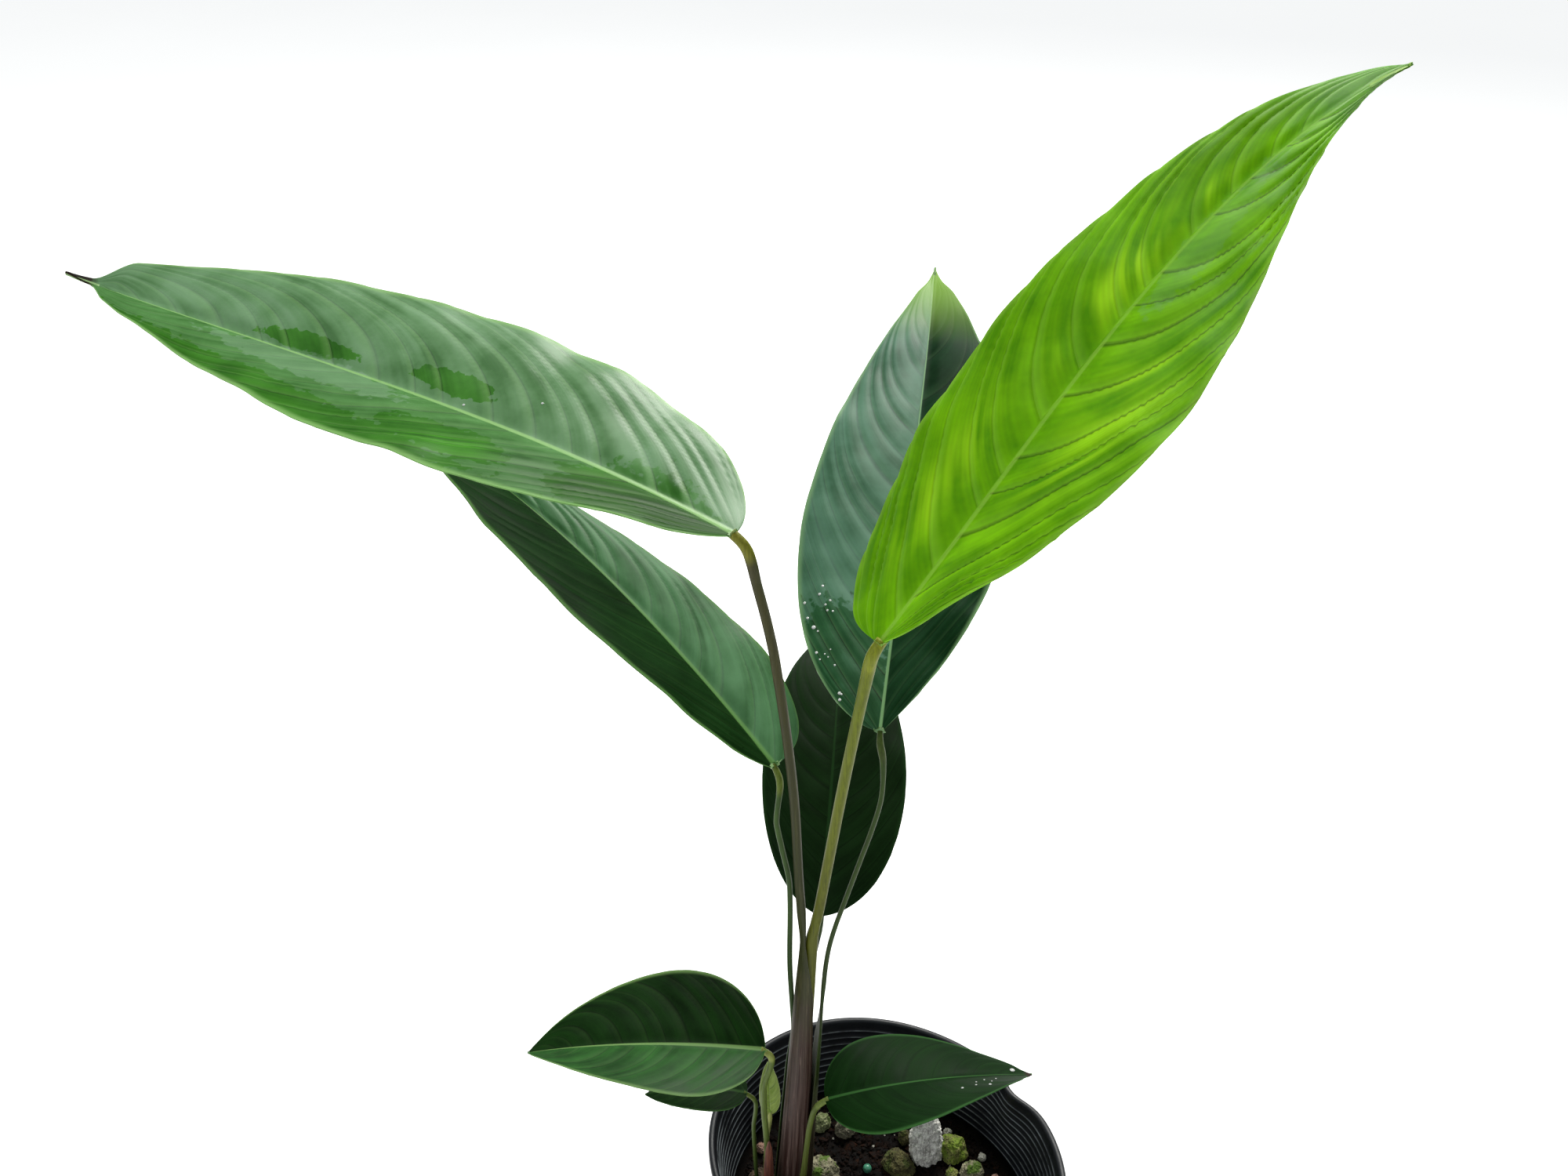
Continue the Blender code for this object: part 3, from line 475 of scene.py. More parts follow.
scuff_share = add(tree, "ShaderNodeMapRange", {"Value": scuffs, "From Min": 0.34, "From Max": 0.62})
painted_rib_highlight = add(tree, "ShaderNodeMath", {0: crest, 1: scuff_share}, operation="MULTIPLY")
painted_rib_highlight = add(tree, "ShaderNodeMath", {0: painted_rib_highlight, 1: 0.8}, operation="MULTIPLY")
black = add(tree, "ShaderNodeMix", {"Factor": scuff_share, "A": linear("#101318"),
                                    "B": linear("#171a1f")}, data_type="RGBA")
colour = add(tree, "ShaderNodeMix", {"Factor": painted_rib_highlight, "A": black, "B": linear("#8b9296")},
             data_type="RGBA")
link(tree, colour, shader.inputs["Base Color"])
gloss = add(tree, "ShaderNodeMapRange", {"Value": scuffs, "From Min": 0.3, "From Max": 0.7,
                                         "To Min": 0.38, "To Max": 0.58})
link(tree, gloss, shader.inputs["Roughness"])
grain = add(tree, "ShaderNodeTexNoise", {"Vector": coordinates, "Scale": 900.0, "Detail": 3.0})
link(tree, add(tree, "ShaderNodeBump", {"Height": grain, "Strength": 0.15, "Distance": 0.0002}),
     shader.inputs["Normal"])

# %% [markdown]
# The pot's wall is pushed out of round after the ribs are on, and the drain holes are cut with a
# Boolean, as a punch would.

# %% Squeeze, crease and drain holes
def bulge(azimuth, height):
    """How far the wall stands out of round, for arrays of places."""
    oval = OVAL_DEPTH * np.cos(2 * (azimuth - OVAL_AZIMUTH)) * height / POT_HEIGHT
    turn = (azimuth - CREASE_AZIMUTH + np.pi) % (2 * np.pi) - np.pi
    rise = np.clip((height - SOIL_TOP) / SOIL_BELOW_RIM, 0, 1)
    return oval - CREASE_DEPTH * np.exp(-(turn / CREASE_SPREAD) ** 2) * rise


def push_out_of_round(mesh):
    corners = corners_of(mesh)
    radius = np.hypot(corners[:, 0], corners[:, 1])
    amount = bulge(np.arctan2(corners[:, 1], corners[:, 0]), corners[:, 2])
    stretch = 1 + np.where(radius > POT_BASE_RADIUS / 2, amount / np.maximum(radius, 1e-6), 0)
    corners[:, :2] *= stretch[:, None]
    move_corners(mesh, corners)


grow(pot, rib_tree, **{"Rib pitch": RIB_PITCH, "Rib height": RIB_HEIGHT, "Low": POT_HEEL * 2,
                       "High": lip_low - LIP_ROUND, "Material": plastic})
push_out_of_round(pot.data)
punches = []
for index in range(DRAIN_COUNT):
    azimuth = 2 * math.pi * index / DRAIN_COUNT
    bpy.ops.mesh.primitive_cylinder_add(
        vertices=32, radius=DRAIN_RADIUS, depth=4 * POT_FLOOR,
        location=(DRAIN_CIRCLE_RADIUS * math.cos(azimuth),
                  DRAIN_CIRCLE_RADIUS * math.sin(azimuth), 0.0))
    punches.append(bpy.context.object)
    hole = pot.modifiers.new("hole", "BOOLEAN")
    hole.operation, hole.solver, hole.object = "DIFFERENCE", "EXACT", punches[-1]
bake_modifiers(pot)
for punch in punches:
    bpy.data.objects.remove(punch, do_unlink=True)
pot.data.set_sharp_from_angle(angle=math.radians(50))
finish_piece(pot, "pot_plastic", "pot")
print("pot faces:", len(pot.data.polygons))

# %% [markdown]
# ## The soil: a lumpy bed with crumbs on it
#
# Potting mix is dark peat with bark crumbs and a little perlite. The bed is a turned mesh whose top
# is lifted by noise, and Geometry Nodes scatter loose crumbs over it, because they repeat by the
# hundred. Crumbs also hide the joint round each stalk.

# %% Dark peat, moist
def peat(name, dark, light, grain_size):
    """Crumbly organic matter: near black where moist, brown where a crumb has dried."""
    material, tree, shader = new_material(name)
    coordinates = add(tree, "ShaderNodeTexCoord").outputs["Object"]
    crumbs = add(tree, "ShaderNodeTexNoise", {"Vector": coordinates, "Scale": 1 / grain_size,
                                              "Detail": 8.0, "Roughness": 0.7})
    dry = add(tree, "ShaderNodeMapRange", {"Value": crumbs, "From Min": 0.42, "From Max": 0.70})
    colour = add(tree, "ShaderNodeMix", {"Factor": dry, "A": linear(dark), "B": linear(light)},
                 data_type="RGBA")
    link(tree, colour, shader.inputs["Base Color"])
    shader.inputs["Specular IOR Level"].default_value = 0.12
    link(tree, add(tree, "ShaderNodeMapRange", {"Value": crumbs, "From Min": 0.35,
                                                "From Max": 0.6, "To Min": 0.55, "To Max": 0.95}),
         shader.inputs["Roughness"])
    link(tree, add(tree, "ShaderNodeBump", {"Height": crumbs, "Strength": 0.8,
                                            "Distance": 0.0012}), shader.inputs["Normal"])
    return material


peat_bed = peat("potting_peat_moist", "#060403", "#150c08", 0.004)
peat_crumb = peat("peat_crumb_loose", "#090504", "#22130c", 0.003)
bark_crumb = peat("pine_bark_composted", "#100805", "#341c10", 0.002)

# %% Soil bed
SOIL_RINGS = 90
SOIL_LUMP = 0.0016                # height of the bed's lumps
# Length, share of the height and heading of each wave that the lumps are made of.
SOIL_WAVES = ((0.021, 0.55, 0.4), (0.011, 0.45, 1.3), (0.0063, 0.4, 2.2), (0.0041, 0.3, 0.9),
              (0.0027, 0.22, 2.7))
SOIL_EDGE = 0.004                 # the lumps die away over this, at the rim of the bed's top


def soil_top_rise(x, y):
    """Lumps of the bed's top, as a sum of waves that never line up."""
    rise = np.zeros_like(x)
    for size, share, turn in SOIL_WAVES:
        along = x * math.cos(turn) + y * math.sin(turn)
        aside = y * math.cos(turn) - x * math.sin(turn)
        rise += share * np.sin(2 * np.pi * along / size + 2.1 * np.sin(aside / size)) \
            * np.cos(2 * np.pi * aside / (size * 1.3) + 1.7 * np.sin(along / size))
    return rise * SOIL_LUMP


flat_radius = soil_radius(SOIL_TOP) - 2 * SOIL_SHOULDER
top_rings = [(radius, SOIL_TOP) for radius in np.linspace(flat_radius, 0.0, SOIL_RINGS)]
low = POT_FLOOR + GAP
soil_profile = [(0.0, low), (POT_BASE_RADIUS - POT_HEEL - POT_WALL - GAP, low),
                (soil_radius(POT_FLOOR + POT_HEEL + GAP), POT_FLOOR + POT_HEEL + GAP),
                (soil_radius(SOIL_TOP - SOIL_SHOULDER), SOIL_TOP - SOIL_SHOULDER)]
corners, faces = spin(soil_profile + top_rings, TURN_STEPS)
soil = show("soil_bed", make_mesh("soil_bed", corners, faces))
push_out_of_round(soil.data)
corners = corners_of(soil.data)
on_top = corners[:, 2] > SOIL_TOP - 1e-5
fade = 1 - smooth(flat_radius - SOIL_EDGE, flat_radius, np.hypot(corners[:, 0], corners[:, 1]))
corners[:, 2] += np.where(on_top, soil_top_rise(corners[:, 0], corners[:, 1]) * fade, 0)
move_corners(soil.data, corners)
soil.data.materials.append(peat_bed)
finish_piece(soil, "potting_soil", "soil")
print("soil lumps: +-", round(1000 * float(np.ptp(corners[on_top][:, 2])) / 2, 2), "mm")

# %% [markdown]
# One tree scatters any loose grain. It takes a surface, a grain to repeat, a density and a size
# range, so peat crumbs, bark chips and perlite beads all come from it.

# %% Scatter by Geometry Nodes
PATCH_RINGS = 60                  # rings of the patch of bed that the grains are scattered on
scatter_tree, given = new_tree("scatter_grains", **{
    "Grain": "Object", "Density": "Float", "Smallest": "Float", "Largest": "Float",
    "Flatness": "Float", "Seed": "Int", "Material": "Material"})
spread = add(scatter_tree, "GeometryNodeDistributePointsOnFaces",
             {"Mesh": given["Geometry"], "Density": given["Density"], "Seed": given["Seed"]})
size = add(scatter_tree, "FunctionNodeRandomValue",
           {"Min": given["Smallest"], "Max": given["Largest"], "Seed": given["Seed"]},
           data_type="FLOAT")
stretch = add(scatter_tree, "FunctionNodeRandomValue",
              {"Min": (0.6, 0.6, 0.5), "Max": (1.3, 1.0, 0.9), "Seed": 3},
              data_type="FLOAT_VECTOR")
flat = add(scatter_tree, "ShaderNodeCombineXYZ", {"X": 1.0, "Y": 1.0, "Z": given["Flatness"]})
stretch = add(scatter_tree, "ShaderNodeVectorMath", {0: stretch, 1: flat}, operation="MULTIPLY")
scale = add(scatter_tree, "ShaderNodeVectorMath", {0: stretch, "Scale": size},
            operation="SCALE")
tilt = add(scatter_tree, "FunctionNodeRandomValue",
           {"Min": (-0.6, -0.6, 0.0), "Max": (0.6, 0.6, 2 * math.pi), "Seed": 5},
           data_type="FLOAT_VECTOR")
grain_shape = add(scatter_tree, "GeometryNodeObjectInfo", {"Object": given["Grain"]})
grains = add(scatter_tree, "GeometryNodeInstanceOnPoints",
             {"Points": spread.outputs["Points"], "Instance": grain_shape.outputs["Geometry"],
              "Rotation": tilt, "Scale": scale})
end_tree(scatter_tree, grains, given["Material"])


def rough_grain(name, detail, seed, roughness):
    """A small angular grain about one metre across, to be scaled down by the scatter."""
    bpy.ops.mesh.primitive_ico_sphere_add(subdivisions=detail, radius=0.5)
    item = bpy.context.object
    item.name = name
    dice = np.random.default_rng(seed)
    for vertex in item.data.vertices:
        vertex.co *= 1 + roughness * dice.uniform(-1, 1)
    return item


def bed_patch(name, outer):
    """The soil's top again, to scatter on. It is not shown itself."""
    rings = [(radius, SOIL_TOP) for radius in np.linspace(outer, 0.0, PATCH_RINGS)]
    mesh = make_mesh(name, *spin(rings, TURN_STEPS))
    push_out_of_round(mesh)
    corners = corners_of(mesh)
    corners[:, 2] += soil_top_rise(corners[:, 0], corners[:, 1])
    move_corners(mesh, corners)
    return show(name, mesh)


angular = rough_grain("angular_grain", 1, 4, 0.30)
rounded = rough_grain("rounded_grain", 2, 9, 0.12)


def scatter(name, grain, density, smallest, largest, flatness, seed, material, slot,
            outer=flat_radius):
    item = bed_patch(name, outer)
    grow(item, scatter_tree, **{"Grain": grain, "Density": density, "Smallest": smallest,
                                "Largest": largest, "Flatness": flatness, "Seed": seed,
                                "Material": material})
    print(name, len(item.data.polygons), "faces")
    finish_piece(item, slot)


scatter("soil_crumbs", angular, 220000.0, 0.0010, 0.0036, 1.0, 11, peat_crumb, "potting_soil")
scatter("bark_chips", angular, 12000.0, 0.0030, 0.0070, 0.5, 23, bark_crumb, "potting_soil",
        flat_radius - 0.002)


# %% [markdown]
# Perlite is volcanic glass puffed by heat: white, light and matt, with a pitted skin. Pumice is the
# same idea on a larger scale. Both share one finish, whose pits come from a cell pattern.

# %% Pumice and perlite
def pumice(name, pale, grey, moss=None, moss_share=0.0, pit_size=0.0012):
    """Frothy volcanic stone with painted shade in its pits, and patches of algae when damp."""
    material, tree, shader = new_material(name)
    coordinates = add(tree, "ShaderNodeTexCoord").outputs["Object"]
    mottle = add(tree, "ShaderNodeTexNoise", {"Vector": coordinates, "Scale": 260.0,
                                              "Detail": 6.0, "Roughness": 0.6})
    cells = add(tree, "ShaderNodeTexVoronoi", {"Vector": coordinates, "Scale": 1 / pit_size})
    pits = add(tree, "ShaderNodeMapRange", {"Value": cells.outputs["Distance"],
                                            "From Min": 0.12, "From Max": 0.42},
               interpolation_type="SMOOTHSTEP")
    share = add(tree, "ShaderNodeMapRange", {"Value": mottle, "From Min": 0.36,
                                             "From Max": 0.64})
    colour = add(tree, "ShaderNodeMix", {"Factor": share, "A": linear(grey), "B": linear(pale)},
                 data_type="RGBA")
    if moss:
        patchy = add(tree, "ShaderNodeTexNoise", {"Vector": coordinates, "Scale": 150.0,
                                                  "Detail": 4.0})
        green = add(tree, "ShaderNodeMapRange",
                    {"Value": patchy, "From Min": 0.62 - 0.35 * moss_share,
                     "From Max": 0.74 - 0.35 * moss_share}, interpolation_type="SMOOTHSTEP")
        colour = add(tree, "ShaderNodeMix", {"Factor": green, "A": colour, "B": linear(moss)},
                     data_type="RGBA")
    # Painted shade: the colour darkens to three tenths in the pits.
    shade = add(tree, "ShaderNodeMapRange", {"Value": pits, "To Min": 0.30, "To Max": 1.0})
    dark = add(tree, "ShaderNodeVectorMath", {0: colour, "Scale": shade}, operation="SCALE")
    link(tree, dark, shader.inputs["Base Color"])
    shader.inputs["Roughness"].default_value = 0.9
    link(tree, add(tree, "ShaderNodeBump", {"Height": pits, "Strength": 0.6,
                                            "Distance": 0.0003}), shader.inputs["Normal"])
    return material


perlite = pumice("perlite_expanded", "#d9d6cc", "#9c988c", pit_size=0.0007)
scatter("perlite_grains", rounded, 2400.0, 0.0008, 0.0019, 1.0, 5, perlite, "pumice")

# %% [markdown]
# ## Stones: the CAD lumps, weathered
#
# Each stone starts as a merged copy of its CAD lump, so that it lies where the solid does. A
# Subdivision Surface rounds it, and a Geometry Nodes tree roughens it along its normals with noise
# and bites small pits out of it with a cell pattern.

# %% Weathering by Geometry Nodes
stone_tree, given = new_tree("weather_stone", **{
    "Lump size": "Float", "Lump height": "Float", "Pit size": "Float", "Pit depth": "Float",
    "Seed": "Float", "Material": "Material"})
lumps = add(stone_tree, "ShaderNodeTexNoise",
            {"W": given["Seed"], "Scale": add(stone_tree, "ShaderNodeMath",
                                              {0: 1.0, 1: given["Lump size"]},
                                              operation="DIVIDE"),
             "Detail": 4.0, "Roughness": 0.6}, noise_dimensions="4D")
lumps = add(stone_tree, "ShaderNodeMapRange", {"Value": lumps.outputs[0], "From Min": 0.25,
                                               "From Max": 0.75, "To Min": -1.0, "To Max": 1.0},
            clamp=False)
lumps = add(stone_tree, "ShaderNodeMath", {0: lumps, 1: given["Lump height"]},
            operation="MULTIPLY")
pits = add(stone_tree, "ShaderNodeTexVoronoi",
           {"Scale": add(stone_tree, "ShaderNodeMath", {0: 1.0, 1: given["Pit size"]},
                         operation="DIVIDE")})
pits = add(stone_tree, "ShaderNodeMapRange", {"Value": pits.outputs["Distance"],
                                              "From Min": 0.1, "From Max": 0.45,
                                              "To Min": -1.0, "To Max": 0.0},
           interpolation_type="SMOOTHSTEP")
pits = add(stone_tree, "ShaderNodeMath", {0: pits, 1: given["Pit depth"]},
           operation="MULTIPLY")
push = add(stone_tree, "ShaderNodeMath", {0: lumps, 1: pits}, operation="ADD")
offset = add(stone_tree, "ShaderNodeVectorMath",
             {0: add(stone_tree, "GeometryNodeInputNormal"), "Scale": push}, operation="SCALE")
moved = add(stone_tree, "GeometryNodeSetPosition",
            {"Geometry": given["Geometry"], "Offset": offset})
end_tree(stone_tree, moved, given["Material"])


MERGE_DISTANCE = 0.00001


def merged_copy(node, name):
    """The CAD node's shape as a new object, with its loose triangles joined up."""
    item = show(name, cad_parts[node].data.copy())
    item.data.materials.clear()
    weld = item.modifiers.new("weld", "WELD")
    weld.merge_threshold = MERGE_DISTANCE
    bake_modifiers(item)
    return item


# %% Stone finishes
PALE = pumice("pumice_pale", "#a8a288", "#6f6a52")
PITTED = pumice("pumice_grey_brown", "#7f7a68", "#4b4638")
GREENED = pumice("pumice_algae_film", "#8b9068", "#545a38", "#556a2c", 0.45)
MOSSY = pumice("pumice_mossy", "#a39d82", "#67624a", "#4f6a1e", 0.42)
OLIVE = pumice("pumice_olive", "#5f5a30", "#36331c", "#454e1c", 0.35)
YELLOW = pumice("pumice_yellow_moss", "#8f9150", "#55592c", "#6f8428", 0.5)
WHITE = pumice("perlite_lump", "#cfccc2", "#a09c90", pit_size=0.0009)
PINK = pumice("perlite_pink", "#c9a294", "#94705f", pit_size=0.0009)
BROWN = pumice("pumice_brown", "#554330", "#2d2218")
STONE_LOOKS = {
    "stone_pale_back": PALE, "stone_green_back": GREENED, "stone_pitted": PITTED,
    "stone_mossy": MOSSY, "stone_olive": OLIVE, "stone_olive_small": OLIVE,
    "stone_moss_right": YELLOW, "stone_yellow": YELLOW, "stone_moss_low": MOSSY,
    "stone_white": WHITE, "stone_pink": PINK, "stone_white_back": WHITE,
    "stone_brown_left": BROWN, "stone_pink_left": PINK, "stone_front_pale": PALE,
    "stone_front_olive": OLIVE, "stone_front_moss": MOSSY, "stone_front_small": PITTED,
    "stone_front_grey": PITTED,
}
MOSSY_WORDS = ("moss", "olive", "green", "yellow")


def rounded_copy(node, name, levels, growth=1.0):
    """Round the CAD lump, then stretch it to fill its box again, since rounding shrinks it."""
    item = merged_copy(node, name)
    surface = item.modifiers.new("round", "SUBSURF")
    surface.levels = surface.render_levels = levels
    bake_modifiers(item)
    low, high = (np.array(corner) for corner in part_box(node))
    corners = corners_of(item.data)
    share = (corners - corners.min(0)) / np.ptp(corners, axis=0)
    middle, half = (low + high) / 2, (high - low) / 2 * growth
    middle[2] += half[2] * (1 - 1 / growth)
    move_corners(item.data, middle + (2 * share - 1) * half)
    return item


DIAGONAL = 1.7                    # a lump's diagonal over its width
STONE_GROWTH = 1.18               # weathering eats into the lump, so it starts larger

for index, (node, material) in enumerate(STONE_LOOKS.items()):
    low_corner, high_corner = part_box(node)
    width = (high_corner - low_corner).length / DIAGONAL
    stone = rounded_copy(node, node.replace("stone", "lump"), 4, STONE_GROWTH)
    grow(stone, stone_tree, **{"Lump size": width * 0.42, "Lump height": width * 0.15,
                               "Pit size": 0.0017, "Pit depth": 0.0005,
                               "Seed": float(index), "Material": material})
    mossy = any(word in node for word in MOSSY_WORDS)
    finish_piece(stone, "pumice_mossy" if mossy else "pumice", node)
print("stones:", len(STONE_LOOKS))

# %% [markdown]
# One lump is a tuft of pale fibre, a torn piece of coir or sphagnum that stands up from the soil.
# It keeps the CAD lump's body, with finer, longer relief, and a matt streaked finish.

# %% Coir fibre lump
fibre, tree, shader = new_material("coir_fibre_bleached")
coordinates = add(tree, "ShaderNodeTexCoord").outputs["Object"]
strands = add(tree, "ShaderNodeMapping", {"Vector": coordinates, "Scale": (900.0, 900.0, 160.0),
                                          "Rotation": (0.5, 0.3, 0.0)})
strands = add(tree, "ShaderNodeTexNoise", {"Vector": strands, "Scale": 1.0, "Detail": 6.0,
                                           "Roughness": 0.7, "Distortion": 0.6})
share = add(tree, "ShaderNodeMapRange", {"Value": strands, "From Min": 0.34, "From Max": 0.56})
link(tree, add(tree, "ShaderNodeMix", {"Factor": share, "A": linear("#8f8c84"),
                                       "B": linear("#f7f5ee")}, data_type="RGBA"),
     shader.inputs["Base Color"])
shader.inputs["Roughness"].default_value = 0.95
link(tree, add(tree, "ShaderNodeBump", {"Height": strands, "Strength": 0.9,
                                        "Distance": 0.0005}), shader.inputs["Normal"])
tuft = rounded_copy("stone_fibrous", "coir_lump", 5, 1.32)
grow(tuft, stone_tree, **{"Lump size": 0.0055, "Lump height": 0.0020, "Pit size": 0.0022,
                          "Pit depth": 0.0008, "Seed": 41.0, "Material": fibre})
finish_piece(tuft, "fibre_lump", "stone_fibrous")

# %% [markdown]
# The slow-release fertiliser is a resin-coated prill: a smooth, slightly translucent bead.

# %% Fertiliser prill
resin, tree, shader = new_material("fertiliser_resin_coated")
coordinates = add(tree, "ShaderNodeTexCoord").outputs["Object"]
cloud = add(tree, "ShaderNodeTexNoise", {"Vector": coordinates, "Scale": 500.0, "Detail": 3.0})
link(tree, add(tree, "ShaderNodeMix", {"Factor": cloud, "A": linear("#1f5a45"),
                                       "B": linear("#58a585")}, data_type="RGBA"),
     shader.inputs["Base Color"])
shader.inputs["Roughness"].default_value = 0.3
shader.inputs["IOR"].default_value = 1.5
prill = rounded_copy("fertiliser_bead", "fertiliser_prill", 2)
prill.data.materials.append(resin)
finish_piece(prill, "fertiliser", "fertiliser_bead")

# %% [markdown]
# The rhizome is the short underground stem that joins the shoots. Its CAD shape is right and it lies
# under the soil, so it only needs a finish: a pale corky skin.

# %% Rhizome skin
cork, tree, shader = new_material("rhizome_corky_skin")
coordinates = add(tree, "ShaderNodeTexCoord").outputs["Object"]
rings = add(tree, "ShaderNodeTexNoise", {"Vector": coordinates, "Scale": 400.0, "Detail": 5.0})
link(tree, add(tree, "ShaderNodeMix", {"Factor": rings, "A": linear("#6b4f33"),
                                       "B": linear("#b08d62")}, data_type="RGBA"),
     shader.inputs["Base Color"])
shader.inputs["Roughness"].default_value = 0.85
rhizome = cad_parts["rhizome"]
rhizome.data.materials.clear()
rhizome.data.materials.append(cork)

# %% [markdown]
# ## Leaf blades: a sheet, its veins, then thickness
#
# A calathea blade has one midrib. Side veins leave it at about 45 degrees, sweep forward and run out
# along the margin, and the sheet between two veins bulges up like a pleat. A flat grid is bent
# along the midrib, and each corner keeps its place on the leaf as attributes: along from base to
# tip, across from margin to margin, out from the midrib in metres, and vein, which counts the side
# veins. Lines of equal vein are the veins themselves, so Geometry Nodes can raise the pleats by a
# rule, and the finish can tint along the same lines.

# %% Bend a sheet along the midrib
LARGE_GRID, SMALL_GRID = (210, 64), (96, 36)
LARGE_BLADE = 0.12                # a blade longer than this takes the finer grid
POINT_START, POINT_END = 0.925, 0.965     # where the blade narrows to a drawn-out point
# How far forward a vein has run at the margin, as a share of the blade's length: the straight part,
# and the part that curves in near the margin. The newest blade's right half was creased in the roll.
VEIN_SWEEP = (0.112, 0.168)
CREASED_SWEEP = (0.045, 0.215)
VEIN_POWER = 2.6
VEIN_WANDER = ((0.16, 1.7), (0.10, 3.1))  # size and rate of the waves that space veins unevenly


def midrib(blade, count):
    rows = []
    point = CROWN_POINT + Vector(blade["base"])
    previous = None
    for index in range(count + 1):
        share = 0.5 - 0.5 * math.cos(math.pi * index / count)
        heading = three_point(blade["heading"], share)
        along = direction(heading, three_point(blade["elevation"], share))
        roll = math.radians(lerp(*blade["roll"], share))
        if previous is not None:
            run = (share - previous[0]) * blade["length"]
            point = point + (along + previous[1]) / 2 * run
        previous = (share, along)
        level_left = direction(heading + 90, 0)
        level_up = along.cross(level_left)
        left = level_left * math.cos(roll) + level_up * math.sin(roll)
        up = level_up * math.cos(roll) - level_left * math.sin(roll)
        rows.append((share, point, left, up))
    return rows


def half_width(blade, side, share):
    base, tip = blade[side]
    widest = base / (base + tip)
    peak = widest ** base * (1 - widest) ** tip
    width = blade["width"] / 2 * share ** base * (1 - share) ** tip / peak
    return np.hypot(width, lerp(BLADE_STALK_HALF_WIDTH, BLADE_POINT_HALF_WIDTH, share))


def leaf_sheet(name, pleats, point, rows, columns):
    blade = BLADES[name]
    path = midrib(blade, rows)
    share = np.array([row[0] for row in path])[:, None]
    points, left, up = [np.array([row[part] for row in path])[:, None, :] for part in (1, 2, 3)]
    across = np.linspace(-1, 1, columns + 1)[None, :]
    reach = np.where(across > 0, half_width(blade, "left", share) * (1 + blade["skew"]),
                     half_width(blade, "right", share) * (1 - blade["skew"]))
    reach = reach * (1 - point * smooth(POINT_START, POINT_END, share))
    fold, arch = math.radians(blade["fold"]), math.radians(blade["arch"])
    bent = fold - arch * np.abs(across)
    sideways = np.sign(across) * (math.sin(fold) - np.sin(bent)) / arch
    upward = (np.cos(bent) - math.cos(fold)) / arch
    place = points + left * (reach * sideways)[..., None] + up * (reach * upward)[..., None]
    down_rows = np.gradient(place, axis=0)
    over_columns = np.gradient(place, axis=1)
    rise = np.cross(down_rows, over_columns)
    rise /= np.maximum(np.linalg.norm(rise, axis=2, keepdims=True), 1e-12)
    rise *= np.sign((rise * up).sum(axis=2, keepdims=True))
    distance = np.abs(across) * np.ones_like(share)
    right = CREASED_SWEEP if name == "upper_right" else VEIN_SWEEP
    straight, curved = [np.where(across > 0, *pair) for pair in zip(VEIN_SWEEP, right)]
    forward = straight * distance + curved * distance ** VEIN_POWER
    vein = (share - forward) * pleats
    turns = np.random.default_rng(sum(map(ord, name))).uniform(0, 2 * np.pi, len(VEIN_WANDER))
    even = vein
    for (size, rate), turn in zip(VEIN_WANDER, turns):
        vein = vein + size * np.sin(rate * even + turn)
    vein = vein + np.where(across > 0, 0.5, 0.0)
    grid = np.arange(place.shape[0] * place.shape[1]).reshape(place.shape[:2])
    faces = np.stack([grid[:-1, :-1], grid[1:, :-1], grid[1:, 1:], grid[:-1, 1:]],
                     axis=-1).reshape(-1, 4)
    flat = np.ones_like(vein)
    mesh = make_mesh("leaf_" + name, place.reshape(-1, 3), faces, {
        "along": (share * flat).ravel(), "across": (across * flat).ravel(),
        "out": (reach * distance).ravel(), "vein": vein.ravel(),
        "rise": rise.reshape(-1, 3)})
    middle = mesh.polygons[len(mesh.polygons) // 2]
    if middle.normal.dot(Vector(rise[rows // 2, columns // 2])) < 0:
        mesh.flip_normals()
    return mesh


# %% [markdown]
# The tree reads those attributes. A Float Curve is the section of one pleat, sharp at the vein and
# round between, and it fades out at the midrib, the margin, the base and the tip. A slow noise makes
# the whole sheet a little uneven, as a soft leaf is.

# %% Pleats by Geometry Nodes
leaf_tree, given = new_tree("raise_pleats", **{
    "Pleat height": "Float", "Midrib height": "Float", "Unevenness": "Float",
    "Material": "Material"})
named = {key: add(leaf_tree, "GeometryNodeInputNamedAttribute", {"Name": key},
                  data_type="FLOAT_VECTOR" if key == "rise" else "FLOAT")
         for key in ("along", "across", "out", "vein", "rise")}
half_turn = add(leaf_tree, "ShaderNodeMath", {0: named["vein"], 1: 0.5}, operation="PINGPONG")
double = add(leaf_tree, "ShaderNodeMath", {0: half_turn, 1: 2.0}, operation="MULTIPLY")
section = add(leaf_tree, "ShaderNodeFloatCurve", {"Value": double})
points = section.mapping.curves[0].points
points[0].location, points[1].location = (0.0, 0.0), (1.0, 1.0)
for across, rise in ((0.10, 0.34), (0.30, 0.74), (0.60, 0.95)):
    points.new(across, rise)
section.mapping.update()
distance = add(leaf_tree, "ShaderNodeMath", {0: named["across"]}, operation="ABSOLUTE")
fades = [(distance, 0.02, 0.22, 0.0, 1.0), (distance, 0.75, 1.0, 1.0, 0.45),
         (named["along"], 0.0, 0.10, 0.0, 1.0), (named["along"], 0.74, 0.95, 1.0, 0.12)]
height = add(leaf_tree, "ShaderNodeMath", {0: section, 1: given["Pleat height"]},
             operation="MULTIPLY")
for value, low, high, start, end in fades:
    fade = add(leaf_tree, "ShaderNodeMapRange",
               {"Value": value, "From Min": low, "From Max": high, "To Min": start,
                "To Max": end}, interpolation_type="SMOOTHSTEP")
    height = add(leaf_tree, "ShaderNodeMath", {0: height, 1: fade}, operation="MULTIPLY")
ridge = add(leaf_tree, "ShaderNodeMapRange",
            {"Value": named["out"], "From Min": 0.0003, "From Max": 0.0016,
             "To Min": given["Midrib height"], "To Max": 0.0}, interpolation_type="SMOOTHSTEP")
